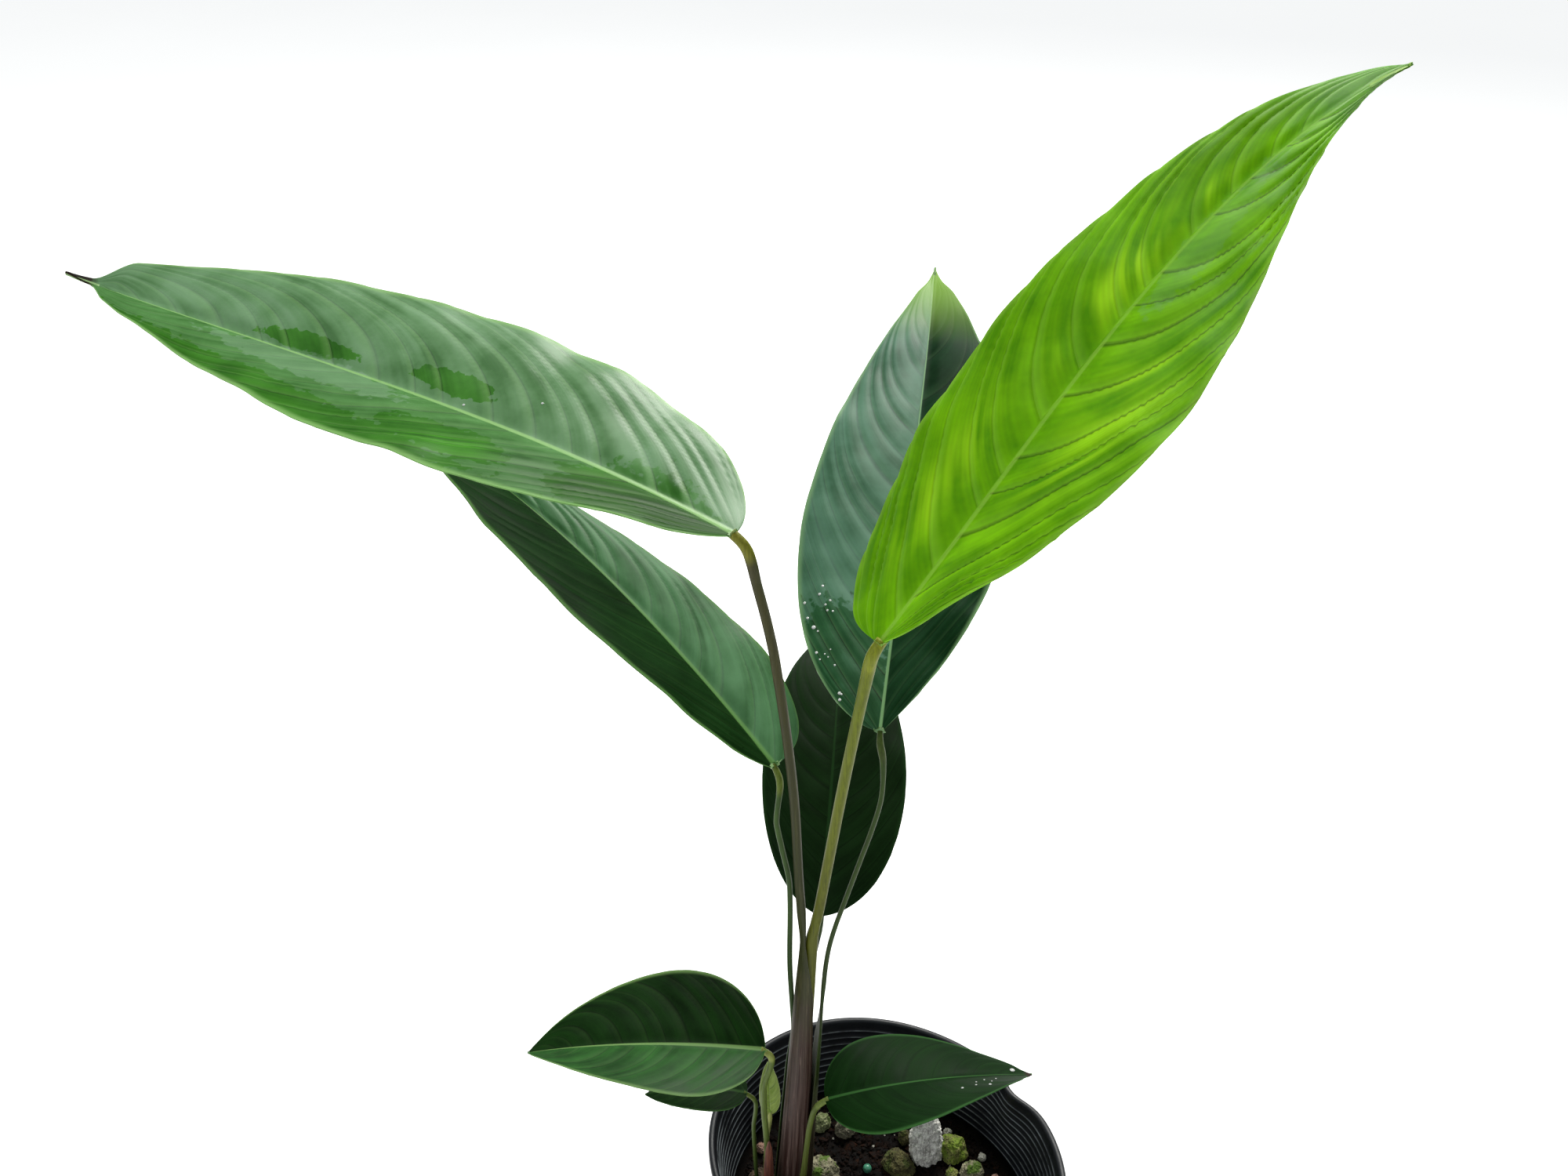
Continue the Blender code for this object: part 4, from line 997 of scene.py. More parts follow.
height = add(leaf_tree, "ShaderNodeMath", {0: height, 1: ridge}, operation="ADD")
waves = add(leaf_tree, "ShaderNodeTexNoise", {"Scale": 26.0, "Detail": 1.0})
waves = add(leaf_tree, "ShaderNodeMapRange",
            {"Value": waves.outputs[0], "From Min": 0.2, "From Max": 0.8, "To Min": -1.0,
             "To Max": 1.0}, clamp=False)
waves = add(leaf_tree, "ShaderNodeMath", {0: waves, 1: given["Unevenness"]},
            operation="MULTIPLY")
waves = add(leaf_tree, "ShaderNodeMath", {0: waves, 1: distance}, operation="MULTIPLY")
height = add(leaf_tree, "ShaderNodeMath", {0: height, 1: waves}, operation="ADD")
offset = add(leaf_tree, "ShaderNodeVectorMath", {0: named["rise"], "Scale": height},
             operation="SCALE")
moved = add(leaf_tree, "GeometryNodeSetPosition",
            {"Geometry": given["Geometry"], "Offset": offset})
end_tree(leaf_tree, moved, given["Material"])


# %% [markdown]
# ## Leaf finishes
#
# A leaf is a thin, waxy, living sheet: its colour comes partly from light that passes through it,
# so a Translucent shader is mixed with the glossy surface. The colour follows the veins in streaks,
# and the margin and midrib are paler. A grey-green painted sheen on the upper side stands for the
# bright sky's reflection in the wax, taken off in patches. Dark vein grooves with pale slopes beside
# them are painted shade and highlight, and darker halves and spots and brighter spots are painted
# shade and painted light.

# %% Living leaf, upper side
LEAF_THICKNESS = 0.0005
RIB_THICKNESS = 0.0024


def leaf_attribute(tree, name):
    return add(tree, "ShaderNodeAttribute", attribute_name=name).outputs["Fac"]


def let_light_through(tree, shader, through, glow):
    """Mix the glossy surface with the light that passes through the sheet, in the share glow."""
    sheet = add(tree, "ShaderNodeMixShader", {0: glow, 1: shader.outputs[0], 2: through})
    output = next(node for node in tree.nodes if node.type == "OUTPUT_MATERIAL")
    link(tree, sheet, output.inputs["Surface"])


def leaf_finish(name, deep, light, pale, painted_sheen="#7f9f84", painted_sheen_sides=(0.0, 0.0),
                painted_shade_sides=(1.0, 1.0), patches=(), painted_light_spots=(), painted_light_colour="#b4e61e", painted_shade_spots=(), glow=0.2,
                gloss=0.38, shine=(0.3, 0.3), crease=(0.62, 0.62), painted_vein_highlight=(0.16, 0.16),
                rib=0.0016, dry_tip=0.0, tip=None):
    """The upper side of a blade. The pairs are for its right and left half.

    crease: painted shade in the groove of a vein. painted_vein_highlight: a painted highlight beside
    it.
    film, painted_sheen_sides: colour and share by half of a painted sheen, the sky's reflection in
    the wax.
    painted_shade_sides: painted shade of a half that lies in shadow.
    patches: (along, across, half length, half width, change of painted sheen), with a ragged edge.
    lit, dim: the same for spots of painted light and painted shade, with a soft edge and the change.
    """
    material, tree, shader = new_material("leaf_" + name + "_living_cuticle")
    along, across, out, vein = [leaf_attribute(tree, key)
                                for key in ("along", "across", "out", "vein")]
    coordinates = add(tree, "ShaderNodeTexCoord").outputs["Object"]
    blotch = add(tree, "ShaderNodeTexNoise", {"Vector": coordinates, "Scale": 45.0,
                                              "Detail": 4.0, "Roughness": 0.6})
    lines = add(tree, "ShaderNodeCombineXYZ",
                {"X": add(tree, "ShaderNodeMath", {0: vein, 1: 1.7}, operation="MULTIPLY"),
                 "Y": add(tree, "ShaderNodeMath", {0: across, 1: 1.2}, operation="MULTIPLY")})
    streaks = add(tree, "ShaderNodeTexNoise", {"Vector": lines, "Scale": 1.0, "Detail": 2.0,
                                               "Roughness": 0.5})
    mixed = add(tree, "ShaderNodeMath", {0: streaks.outputs[0], 1: blotch.outputs[0]},
                operation="ADD")
    share = add(tree, "ShaderNodeMapRange", {"Value": mixed, "From Min": 0.72,
                                             "From Max": 1.28})
    colour = add(tree, "ShaderNodeMix", {"Factor": share, "A": linear(deep),
                                         "B": linear(light)}, data_type="RGBA")

    def by_half(pair):
        return add(tree, "ShaderNodeMapRange", {"Value": across, "From Min": -0.02,
                                                "From Max": 0.02, "To Min": pair[0],
                                                "To Max": pair[1]})

    # Painted shade: the line of each vein's groove is darkened, by half.
    groove = add(tree, "ShaderNodeMath", {0: vein, 1: 0.5}, operation="PINGPONG")
    groove = add(tree, "ShaderNodeMapRange", {"Value": groove, "From Min": 0.01,
                                              "From Max": 0.07, "To Min": by_half(crease),
                                              "To Max": 1.0}, interpolation_type="SMOOTHSTEP")
    fine = add(tree, "ShaderNodeMath",
               {0: add(tree, "ShaderNodeMath", {0: vein, 1: 7.0}, operation="MULTIPLY"),
                1: 0.5}, operation="PINGPONG")
    fine = add(tree, "ShaderNodeMapRange", {"Value": fine, "From Max": 0.5, "To Min": 0.96,
                                            "To Max": 1.03})
    shade = add(tree, "ShaderNodeMath", {0: groove, 1: fine}, operation="MULTIPLY")
    # Painted shade: one half of the blade is darkened where it lies in the shadow of other blades.
    shade = add(tree, "ShaderNodeMath", {0: shade, 1: by_half(painted_shade_sides)},
                operation="MULTIPLY")
    on_leaf = add(tree, "ShaderNodeCombineXYZ", {"X": along, "Y": across})
    beams = add(tree, "ShaderNodeMapRange", {"Value": streaks, "From Min": 0.40,
                                             "From Max": 0.58})

    def distance_from(place):
        local = add(tree, "ShaderNodeMapping",
                    {"Vector": on_leaf, "Location": (*place[:2], 0.0),
                     "Scale": (*place[2:4], 1.0)}, vector_type="TEXTURE")
        return add(tree, "ShaderNodeVectorMath", {0: local},
                   operation="LENGTH").outputs["Value"]

    def soft_spot(place, inside, outside):
        return add(tree, "ShaderNodeMapRange",
                   {"Value": distance_from(place), "From Min": 0.1, "From Max": 1.0,
                    "To Min": inside, "To Max": outside}, interpolation_type="SMOOTHSTEP")

    # Painted shade: soft spots darkened where the blade lies in shade.
    for place in painted_shade_spots:
        shade = add(tree, "ShaderNodeMath", {0: shade, 1: soft_spot(place, place[4], 1.0)},
                    operation="MULTIPLY")
    # Painted light: soft spots, streaked along the veins, lifted towards a bright glowing green.
    for place in painted_light_spots:
        near = add(tree, "ShaderNodeMath", {0: soft_spot(place, place[4], 0.0), 1: beams},
                   operation="MULTIPLY")
        colour = add(tree, "ShaderNodeMix", {"Factor": near, "A": colour,
                                             "B": linear(painted_light_colour)}, data_type="RGBA")
    colour = add(tree, "ShaderNodeVectorMath", {0: colour, "Scale": shade}, operation="SCALE")
    # Painted highlight: the slope just past each vein's groove is lifted towards the pale colour.
    ridge = add(tree, "ShaderNodeMapRange",
                {"Value": add(tree, "ShaderNodeMath", {0: vein}, operation="FRACT"),
                 "From Min": 0.05, "From Max": 0.30, "To Min": by_half(painted_vein_highlight),
                 "To Max": 0.0}, interpolation_type="SMOOTHSTEP")
    colour = add(tree, "ShaderNodeMix", {"Factor": ridge, "A": colour, "B": linear(pale)},
                 data_type="RGBA")
    translucent_colour = colour
    # Painted sheen: a grey-green layer that stands for the sky's reflection in the wax, mottled, by
    # half, and taken off or added in ragged patches.
    painted_sheen_share = add(tree, "ShaderNodeMapRange", {"Value": mixed, "From Min": 0.75,
                                             "From Max": 1.25, "To Min": 0.35})
    painted_sheen_share = add(tree, "ShaderNodeMath", {0: painted_sheen_share, 1: by_half(painted_sheen_sides)},
                operation="MULTIPLY")
    ragged = add(tree, "ShaderNodeTexNoise", {"Vector": coordinates, "Scale": 260.0,
                                              "Detail": 3.0})
    ragged = add(tree, "ShaderNodeMapRange", {"Value": ragged, "To Min": -0.55, "To Max": 0.55})
    for place in patches:
        far = add(tree, "ShaderNodeMath", {0: distance_from(place), 1: ragged},
                  operation="ADD")
        patch = add(tree, "ShaderNodeMapRange", {"Value": far, "From Min": 0.92,
                                                 "From Max": 1.02, "To Min": place[4],
                                                 "To Max": 0.0})
        painted_sheen_share = add(tree, "ShaderNodeMath", {0: painted_sheen_share, 1: patch}, operation="ADD",
                    use_clamp=True)
    colour = add(tree, "ShaderNodeMix", {"Factor": painted_sheen_share, "A": colour, "B": linear(painted_sheen)},
                 data_type="RGBA")
    edge = add(tree, "ShaderNodeMath", {0: across}, operation="ABSOLUTE")
    edge = add(tree, "ShaderNodeMapRange", {"Value": edge, "From Min": 0.93, "From Max": 1.0,
                                            "To Max": 0.7}, interpolation_type="SMOOTHSTEP")
    colour = add(tree, "ShaderNodeMix", {"Factor": edge, "A": colour, "B": linear(pale)},
                 data_type="RGBA")
    rib_width = add(tree, "ShaderNodeMapRange", {"Value": along, "To Min": rib,
                                                 "To Max": 0.0001})
    rib = add(tree, "ShaderNodeMath", {0: out, 1: rib_width}, operation="DIVIDE")
    rib = add(tree, "ShaderNodeMapRange", {"Value": rib, "From Min": 0.5, "From Max": 1.1,
                                           "To Min": 0.75, "To Max": 0.0},
              interpolation_type="SMOOTHSTEP")
    colour = add(tree, "ShaderNodeMix", {"Factor": rib, "A": colour, "B": linear(pale)},
                 data_type="RGBA")
    # A tip colour is mixed in towards the point. On the newest blade it is a pale green that stands
    # for light glancing off its bent-back point: a painted sheen.
    if tip:
        point = add(tree, "ShaderNodeMapRange", {"Value": along, "From Min": 0.78,
                                                 "From Max": 0.97, "To Max": 0.85},
                    interpolation_type="SMOOTHSTEP")
        colour = add(tree, "ShaderNodeMix", {"Factor": point, "A": colour, "B": linear(tip)},
                     data_type="RGBA")
    if dry_tip:
        dry = add(tree, "ShaderNodeMath",
                  {0: along, 1: add(tree, "ShaderNodeMath", {0: ragged, 1: 0.02},
                                    operation="MULTIPLY")}, operation="ADD")
        dry = add(tree, "ShaderNodeMapRange", {"Value": dry, "From Min": dry_tip,
                                               "From Max": dry_tip + 0.012})
        colour = add(tree, "ShaderNodeMix", {"Factor": dry, "A": colour,
                                             "B": linear("#2b2018")}, data_type="RGBA")
    link(tree, colour, shader.inputs["Base Color"])
    roughness = add(tree, "ShaderNodeMapRange", {"Value": mixed, "From Min": 0.7,
                                                 "From Max": 1.3, "To Min": gloss - 0.07,
                                                 "To Max": gloss + 0.09})
    link(tree, roughness, shader.inputs["Roughness"])
    shader.inputs["IOR"].default_value = 1.42
    link(tree, by_half(shine), shader.inputs["Specular IOR Level"])
    relief = add(tree, "ShaderNodeMath", {0: fine, 1: streaks.outputs[0]}, operation="ADD")
    bump = add(tree, "ShaderNodeBump", {"Height": relief, "Strength": 0.2,
                                        "Distance": 0.0003})
    link(tree, bump, shader.inputs["Normal"])
    through = add(tree, "ShaderNodeBsdfTranslucent", {"Color": translucent_colour,
                                                      "Normal": bump})
    let_light_through(tree, shader, through, glow)
    return material


# %% [markdown]
# The underside is paler and matt, without the painted sheen, and its midrib stands out.

# %% Living leaf, underside
def leaf_underside(name, dark, light, glow):
    material, tree, shader = new_material(name)
    vein, out = leaf_attribute(tree, "vein"), leaf_attribute(tree, "out")
    coordinates = add(tree, "ShaderNodeTexCoord").outputs["Object"]
    blotch = add(tree, "ShaderNodeTexNoise", {"Vector": coordinates, "Scale": 60.0,
                                              "Detail": 4.0})
    line = add(tree, "ShaderNodeMath", {0: vein, 1: 0.5}, operation="PINGPONG")
    line = add(tree, "ShaderNodeMapRange", {"Value": line, "From Min": 0.02, "From Max": 0.12,
                                            "To Min": 0.75, "To Max": 0.0})
    colour = add(tree, "ShaderNodeMix", {"Factor": blotch, "A": linear(dark),
                                         "B": linear(light)}, data_type="RGBA")
    colour = add(tree, "ShaderNodeMix", {"Factor": line, "A": colour, "B": linear(light)},
                 data_type="RGBA")
    rib = add(tree, "ShaderNodeMapRange", {"Value": out, "From Min": 0.0007,
                                           "From Max": 0.0014, "To Min": 1.0, "To Max": 0.0})
    colour = add(tree, "ShaderNodeMix", {"Factor": rib, "A": colour, "B": linear(light)},
                 data_type="RGBA")
    link(tree, colour, shader.inputs["Base Color"])
    shader.inputs["Roughness"].default_value = 0.6
    let_light_through(tree, shader, add(tree, "ShaderNodeBsdfTranslucent", {"Color": colour}),
                      glow)
    return material


UNDER_LIGHT = leaf_underside("leaf_underside_young", "#5f9a1c", "#9cc850", 0.35)
UNDER_GREEN = leaf_underside("leaf_underside_grown", "#41713c", "#86aa6c", 0.2)
UNDER_DARK = leaf_underside("leaf_underside_shaded", "#24451f", "#557a48", 0.12)

# %% [markdown]
# Every blade gets its own colour. The newest is a bright yellow-green, partly its own young colour
# and partly painted light of the sun that shines through it. The blades low in the plant and behind
# the stalks, in the shade of the others, get near-black greens: painted shade.

# %% Finish of each blade
FINISHES = {
    "upper_left": leaf_finish(
        "upper_left", "#255f0c", "#468a28", "#8fbf70", painted_sheen="#7f9f80", painted_sheen_sides=(0.7, 0.25),
        painted_shade_sides=(1.0, 0.82), painted_vein_highlight=(0.2, 0.1),
        patches=[(0.64, -0.14, 0.07, 0.11, -0.8), (0.43, -0.22, 0.06, 0.11, -0.8),
                 (0.36, 0.60, 0.09, 0.24, -0.8), (0.60, 0.95, 0.30, 0.30, -0.4),
                 (0.62, 0.20, 0.16, 0.25, 0.3), (0.10, 0.4, 0.12, 0.7, -0.35)],
        painted_light_spots=[(0.36, 0.60, 0.12, 0.3, 0.4)], painted_light_colour="#4fae10",
        painted_shade_spots=[(0.06, 0.5, 0.30, 0.75, 0.45)], glow=0.2, gloss=0.36, shine=(0.4, 0.08),
        dry_tip=0.955),
    "upper_right": leaf_finish(
        "upper_right", "#66a800", "#a4e00a", "#b8e658", painted_sheen="#8db474",
        patches=[(0.62, -0.20, 0.13, 0.22, 0.35), (0.75, -0.14, 0.035, 0.2, 0.3)],
        painted_light_spots=[(0.55, 0.24, 0.24, 0.30, 1.0), (0.20, 0.45, 0.16, 0.3, 0.8),
             (0.36, -0.55, 0.2, 0.5, 0.6)], painted_light_colour="#ccf628",
        painted_shade_spots=[(0.78, 0.7, 0.22, 0.5, 0.8)],
        glow=0.64, gloss=0.48, shine=(0.22, 0.22), crease=(0.45, 0.8),
        painted_vein_highlight=(0.2, 0.3), tip="#bce29a"),
    "back": leaf_finish(
        "back", "#1b4524", "#33653f", "#7ea572", painted_sheen="#5f8571", painted_sheen_sides=(0.0, 0.75),
        painted_shade_sides=(0.35, 1.0), patches=[(0.05, 0.6, 0.17, 0.7, -0.6)], glow=0.12, gloss=0.38,
        painted_shade_spots=[(0.85, 0.3, 0.28, 0.9, 0.6), (0.0, 0.4, 0.28, 1.0, 0.6)], shine=(0.03, 0.16),
        crease=(0.7, 0.3), painted_vein_highlight=(0.04, 0.1), rib=0.0008,
        tip="#86ae4e"),
    "mid_left": leaf_finish(
        "mid_left", "#1d4a18", "#35702f", "#5f8a4a", painted_sheen="#6f9478", painted_sheen_sides=(0.4, 0.0),
        painted_shade_sides=(1.0, 0.22), painted_vein_highlight=(0.16, 0.03), glow=0.12, gloss=0.45,
        shine=(0.2, 0.02)),
    # Near-black base colours here are painted shade of the blades above them.
    "inner": leaf_finish("inner", "#0b1c08", "#12290e", "#1c3818", glow=0.06, gloss=0.5,
                         shine=(0.05, 0.05), rib=0.0012),
    "lower_left": leaf_finish(
        "lower_left", "#123a0b", "#28641a", "#7fa560", painted_sheen_sides=(0.0, 0.06),
        painted_shade_sides=(0.25, 1.0), painted_vein_highlight=(0.02, 0.06), glow=0.12, gloss=0.45,
        shine=(0.08, 0.18), rib=0.0013),
    "lower_right": leaf_finish(
        "lower_right", "#082206", "#11300d", "#3c6a34", glow=0.08, gloss=0.46,
        shine=(0.06, 0.06), crease=(0.75, 0.75), painted_vein_highlight=(0.02, 0.02), rib=0.0009,
        dry_tip=0.965),
    "small": leaf_finish("small", "#0f260b", "#1c3c14", "#3f6230", glow=0.08, gloss=0.5,
                         shine=(0.1, 0.1), rib=0.0009),
    "young": leaf_finish("young", "#7d9440", "#aebf68", "#c2ce90", glow=0.3, gloss=0.45,
                         rib=0.0006),
}
# Number of pleats along the blade, their height, and how far the tip is drawn out to a dry point.
PLEATS = {"upper_left": (17, 0.0006, 0.75), "upper_right": (14, 0.0013, 0.0),
          "back": (15, 0.0005, 0.3), "mid_left": (14, 0.0006, 0.0), "inner": (12, 0.0005, 0.0),
          "lower_left": (10, 0.0004, 0.0), "lower_right": (9, 0.0002, 0.2),
          "small": (7, 0.0003, 0.0), "young": (6, 0.0002, 0.0)}
LIGHT_BLADES = ("upper_right", "young")
SHADED_BLADES = ("inner", "lower_left", "lower_right", "small")
UNDERSIDES = {name: UNDER_LIGHT if name in LIGHT_BLADES else
              UNDER_DARK if name in SHADED_BLADES else UNDER_GREEN for name in BLADES}

# %% [markdown]
# Solidify gives each sheet its thickness. A vertex group makes it thicker along the midrib, so the
# rib stands out below, and the underside takes the second material.

# %% Build the blades
MIDRIB_HEIGHT = 0.0003            # how far the midrib stands up on the upper side
UNEVEN_LARGE, UNEVEN_SMALL = 0.0022, 0.0008
RIB_SPREAD = 0.0011               # half width of the thick part below the midrib
FULL_RIB_LENGTH = 0.2             # a blade shorter than this has a finer midrib

for name, (pleats, pleat_height, point) in PLEATS.items():
    large = BLADES[name]["length"] > LARGE_BLADE
    leaf = show("leaf_" + name,
                leaf_sheet(name, pleats, point, *(LARGE_GRID if large else SMALL_GRID)))
    grow(leaf, leaf_tree, **{"Pleat height": pleat_height, "Midrib height": MIDRIB_HEIGHT,
                             "Unevenness": UNEVEN_LARGE if large else UNEVEN_SMALL,
                             "Material": FINISHES[name]})
    mesh = leaf.data
    along, out = attribute_of(mesh, "along"), attribute_of(mesh, "out")
    mesh.attributes.remove(mesh.attributes["rise"])
    mesh.materials.append(UNDERSIDES[name])
    scale = min(1.0, BLADES[name]["length"] / FULL_RIB_LENGTH)
    weight = np.exp(-(out / (RIB_SPREAD * scale)) ** 2) * (1 - along) ** 0.6 * scale
    group = leaf.vertex_groups.new(name="rib")
    for index in np.flatnonzero(weight > 0.01):
        group.add([int(index)], float(weight[index]), "REPLACE")
    shell = leaf.modifiers.new("thickness", "SOLIDIFY")
    shell.thickness = RIB_THICKNESS
    shell.offset = -1.0
    shell.vertex_group = "rib"
    shell.thickness_vertex_group = LEAF_THICKNESS / RIB_THICKNESS
    shell.material_offset = 1
    bake_modifiers(leaf)
    leaf.data.set_sharp_from_angle(angle=math.radians(60))
    finish_piece(leaf, "leaf_light" if name in LIGHT_BLADES else "leaf", "blade_" + name)
    cad_low, cad_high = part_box("blade_" + name)
    corners = corners_of(leaf.data)
    over = max((Vector(cad_low) - Vector(corners.min(0))).xyz[:] +
               (Vector(corners.max(0)) - Vector(cad_high)).xyz[:])
    print(f"leaf_{name}: {len(leaf.data.polygons)} faces, {1000 * over:.1f} mm past its solid")

# %% [markdown]
# Water stands in small beads on the waxy cuticle where the plant was watered. The tree scatters them
# over a few faces of a finished blade, each flattened and turned to the surface it sits on.

# %% Water beads by Geometry Nodes
# The beads are white and only half clear, so that they show as bright glints: a painted highlight.
water, tree, shader = new_material("water_bead_painted_glint")
shader.inputs["Base Color"].default_value = (1.0, 1.0, 1.0, 1.0)
shader.inputs["Roughness"].default_value = 0.03
shader.inputs["IOR"].default_value = 1.33
shader.inputs["Transmission Weight"].default_value = 0.45
dew_tree, given = new_tree("bead_water", **{
    "Density": "Float", "Smallest": "Float", "Largest": "Float", "Flatness": "Float",
    "Seed": "Int", "Material": "Material"})
spread = add(dew_tree, "GeometryNodeDistributePointsOnFaces",
             {"Mesh": given["Geometry"], "Density": given["Density"], "Seed": given["Seed"]})
size = add(dew_tree, "FunctionNodeRandomValue",
           {"Min": given["Smallest"], "Max": given["Largest"], "Seed": given["Seed"]},
           data_type="FLOAT")
flat = add(dew_tree, "ShaderNodeCombineXYZ", {"X": 1.0, "Y": 1.0, "Z": given["Flatness"]})
scale = add(dew_tree, "ShaderNodeVectorMath", {0: flat, "Scale": size}, operation="SCALE")
bead = add(dew_tree, "GeometryNodeMeshIcoSphere", {"Radius": 0.5, "Subdivisions": 3})
beads = add(dew_tree, "GeometryNodeInstanceOnPoints",
            {"Points": spread.outputs["Points"], "Instance": bead.outputs["Mesh"],
             "Rotation": spread.outputs["Rotation"], "Scale": scale})
end_tree(dew_tree, beads, given["Material"])


def upper_faces(leaf, along_range, across_range):
    """The faces of a blade's upper side between two places along it and two across it."""
    mesh = leaf.data
    along, across = attribute_of(mesh, "along"), attribute_of(mesh, "across")
    inside = (along > along_range[0]) & (along < along_range[1])
    inside &= (across > across_range[0]) & (across < across_range[1])
    faces = [list(face.vertices) for face in mesh.polygons
             if face.material_index == 0 and all(inside[index] for index in face.vertices)]
    return make_mesh("bead_place", corners_of(mesh), faces)


BEAD_FLATNESS = 0.45
# Blade, along, across, beads per square metre, smallest and largest bead, seed.
WATERED = [("lower_right", (0.60, 0.84), (-0.66, -0.25), 60000.0, 0.0006, 0.0014, 4),
           ("lower_right", (0.89, 0.92), (-0.1, 0.45), 40000.0, 0.0018, 0.0022, 7),
           ("back", (0.04, 0.27), (0.60, 0.95), 40000.0, 0.0006, 0.0018, 8),
           ("upper_left", (0.30, 0.42), (-0.5, 0.2), 1500.0, 0.0008, 0.0014, 2)]
for number, (name, along, across, density, smallest, largest, seed) in enumerate(WATERED):
    wet = show(f"water_beads_{number + 1}",
               upper_faces(bpy.data.objects["leaf_" + name], along, across))
    grow(wet, dew_tree, **{"Density": density, "Smallest": smallest, "Largest": largest,
                           "Flatness": BEAD_FLATNESS, "Seed": seed, "Material": water})
    print(wet.name, len(wet.data.polygons), "faces")
    finish_piece(wet, None)

# %% [markdown]
# ## Stalks and sheaths
#
# Each petiole is round where it stands free, and widens below into a sheath that wraps the younger
# stalks, one inside another, which makes the false stem. It is a loft: a bent oval section that
# changes along a smooth line. The stations are the CAD ones, with more rings put between them, and
# fine ridges run lengthwise, as they do on the real sheath.

# %% Sections and stations
JOINT_RUN = 0.007                 # the stalk turns into the blade over this length
JOINT_TURN = 0.35                 # share of the turn that is made below that
JOINT_SWELL = 0.6                 # share of the solid's swelling, under its skin
JOINT_SHARE = 0.45                # the joint takes no more than this share of the last span
JOINT_OVERLAP = 0.0015            # how far the stalk runs on into the blade's foot
STALK_SPACING, JOINT_SPACING = 0.013, 0.004
SHEATH_SHARES = (0.3, 0.6, 0.85, 1.0)     # stations up the sheath
CLOSING_POWER = 4                 # the sheath stays wide, then closes fast near its top
NECK_SHARE, FOOT_SWELL = 0.6, 0.8
ROUND_BEND = 0.05                 # a round section is an oval with next to no bend
SECTION_REACH = 0.985             # the oval's section stops short of a knife edge
RINGS_PER_STATION = 6
# Steps across each face of the section, height of its lengthwise ridges, and their number.
WIDE_SKIN, NARROW_SKIN, PAPER_SKIN = (40, 0.00012, 21), (16, 0.00004, 7), (14, 0.00005, 6)


def height_share(height):
    return min(max(height / SHOOT_TOP, 0.0), 1.0)


def core_radius(height):
    return lerp(CORE_FOOT_RADIUS, CORE_TOP_RADIUS, height_share(height))


def ring_thickness(ring, height):
    foot, top = (WRAP_FOOT, WRAP_TOP) if ring == "wrap" else (OUTER_FOOT, OUTER_TOP)
    return lerp(foot, top, height_share(height))


def ring_radius(ring, height):
    if ring == "core":
        return 0.0
    inner = core_radius(height) + GAP
    if ring == "outer":
        inner += ring_thickness("wrap", height) + GAP
    return inner + ring_thickness(ring, height) / 2


def side_foot(values):
    azimuth, clearance = values["foot"]
    wrap_face = ring_radius("wrap", 0.0) + WRAP_FOOT / 2
    return direction(azimuth, 0).xy * (wrap_face + clearance + values["foot_radius"])


def shoot_axis(height):
    return Vector((SHOOT_LEAN * max(height, 0.0), 0.0, height))


def free_stalk(start_points, via, values, blade):
    base = Vector(blade["base"])
    aim = direction(blade["heading"][0], blade["elevation"][0])
    pulvinus_radius, pulvinus_length = values["pulvinus"]
    rise = base - (start_points + via)[-1]
    run = min(JOINT_RUN, JOINT_SHARE * rise.length)
    lead = base - lerp(rise.normalized(), aim, JOINT_TURN).normalized() * run
    route = start_points + via + [lead, base - aim * GAP]
    first, last = len(start_points) - 1, len(route) - 1
    stations = []
    for span in range(first, last):
        run = (route[span + 1] - route[span]).length
        spacing = STALK_SPACING if span < last - 2 else JOINT_SPACING
        count = max(2, round(run / spacing))
        for index in range(count):
            if span == first and index == 0:
                continue
            share = (span - first + index / count) / (last - first)
            radius = lerp(*values["radius"], share)
            point = spline_point(route, span, index / count)
            left = (base - point).length
            swell = JOINT_SWELL * math.sin(math.pi * min(left / pulvinus_length, 1.0))
            radius = lerp(radius, pulvinus_radius, swell) if left < pulvinus_length else radius
            stations.append((point, radius))
    stations.append((base + aim * JOINT_OVERLAP, values["radius"][1]))
    return stations


def main_stalk(name):
    values = MAIN_PETIOLES[name]
    ring = values["ring"]
    side = direction(values["azimuth"], 0)
    foot_radius = values["radius"][0]
    heights = [-STALK_SINK, 0.0] + [values["sheath_top"] * share for share in SHEATH_SHARES]
    stations, middles = [], []
    for height in heights:
        middle = shoot_axis(height) + side * ring_radius(ring, max(height, 0.0))
        share = max(height, 0.0) / values["sheath_top"]
        middles.append(middle)
        if ring == "core":
            radius = core_radius(height)
            stations.append((middle, radius, radius, ROUND_BEND / radius))
            continue
        curvature = 1 / ring_radius(ring, max(height, 0.0))
        closing = math.cos(math.pi / 2 * share ** CLOSING_POWER)
        wide = lerp(foot_radius, math.radians(values["reach"]) / curvature, closing)
        thickness = ring_thickness(ring, max(height, 0.0)) / 2
        half_thickness = lerp(thickness, foot_radius, share ** CLOSING_POWER)
        stations.append((middle, wide, min(half_thickness, thickness), curvature))
    route = [Vector(point) for point in values["via"]]
    for point, radius in free_stalk(middles[-2:], route, values, BLADES[name]):
        stations.append((point, radius, radius, ROUND_BEND / radius))
    return stations, side


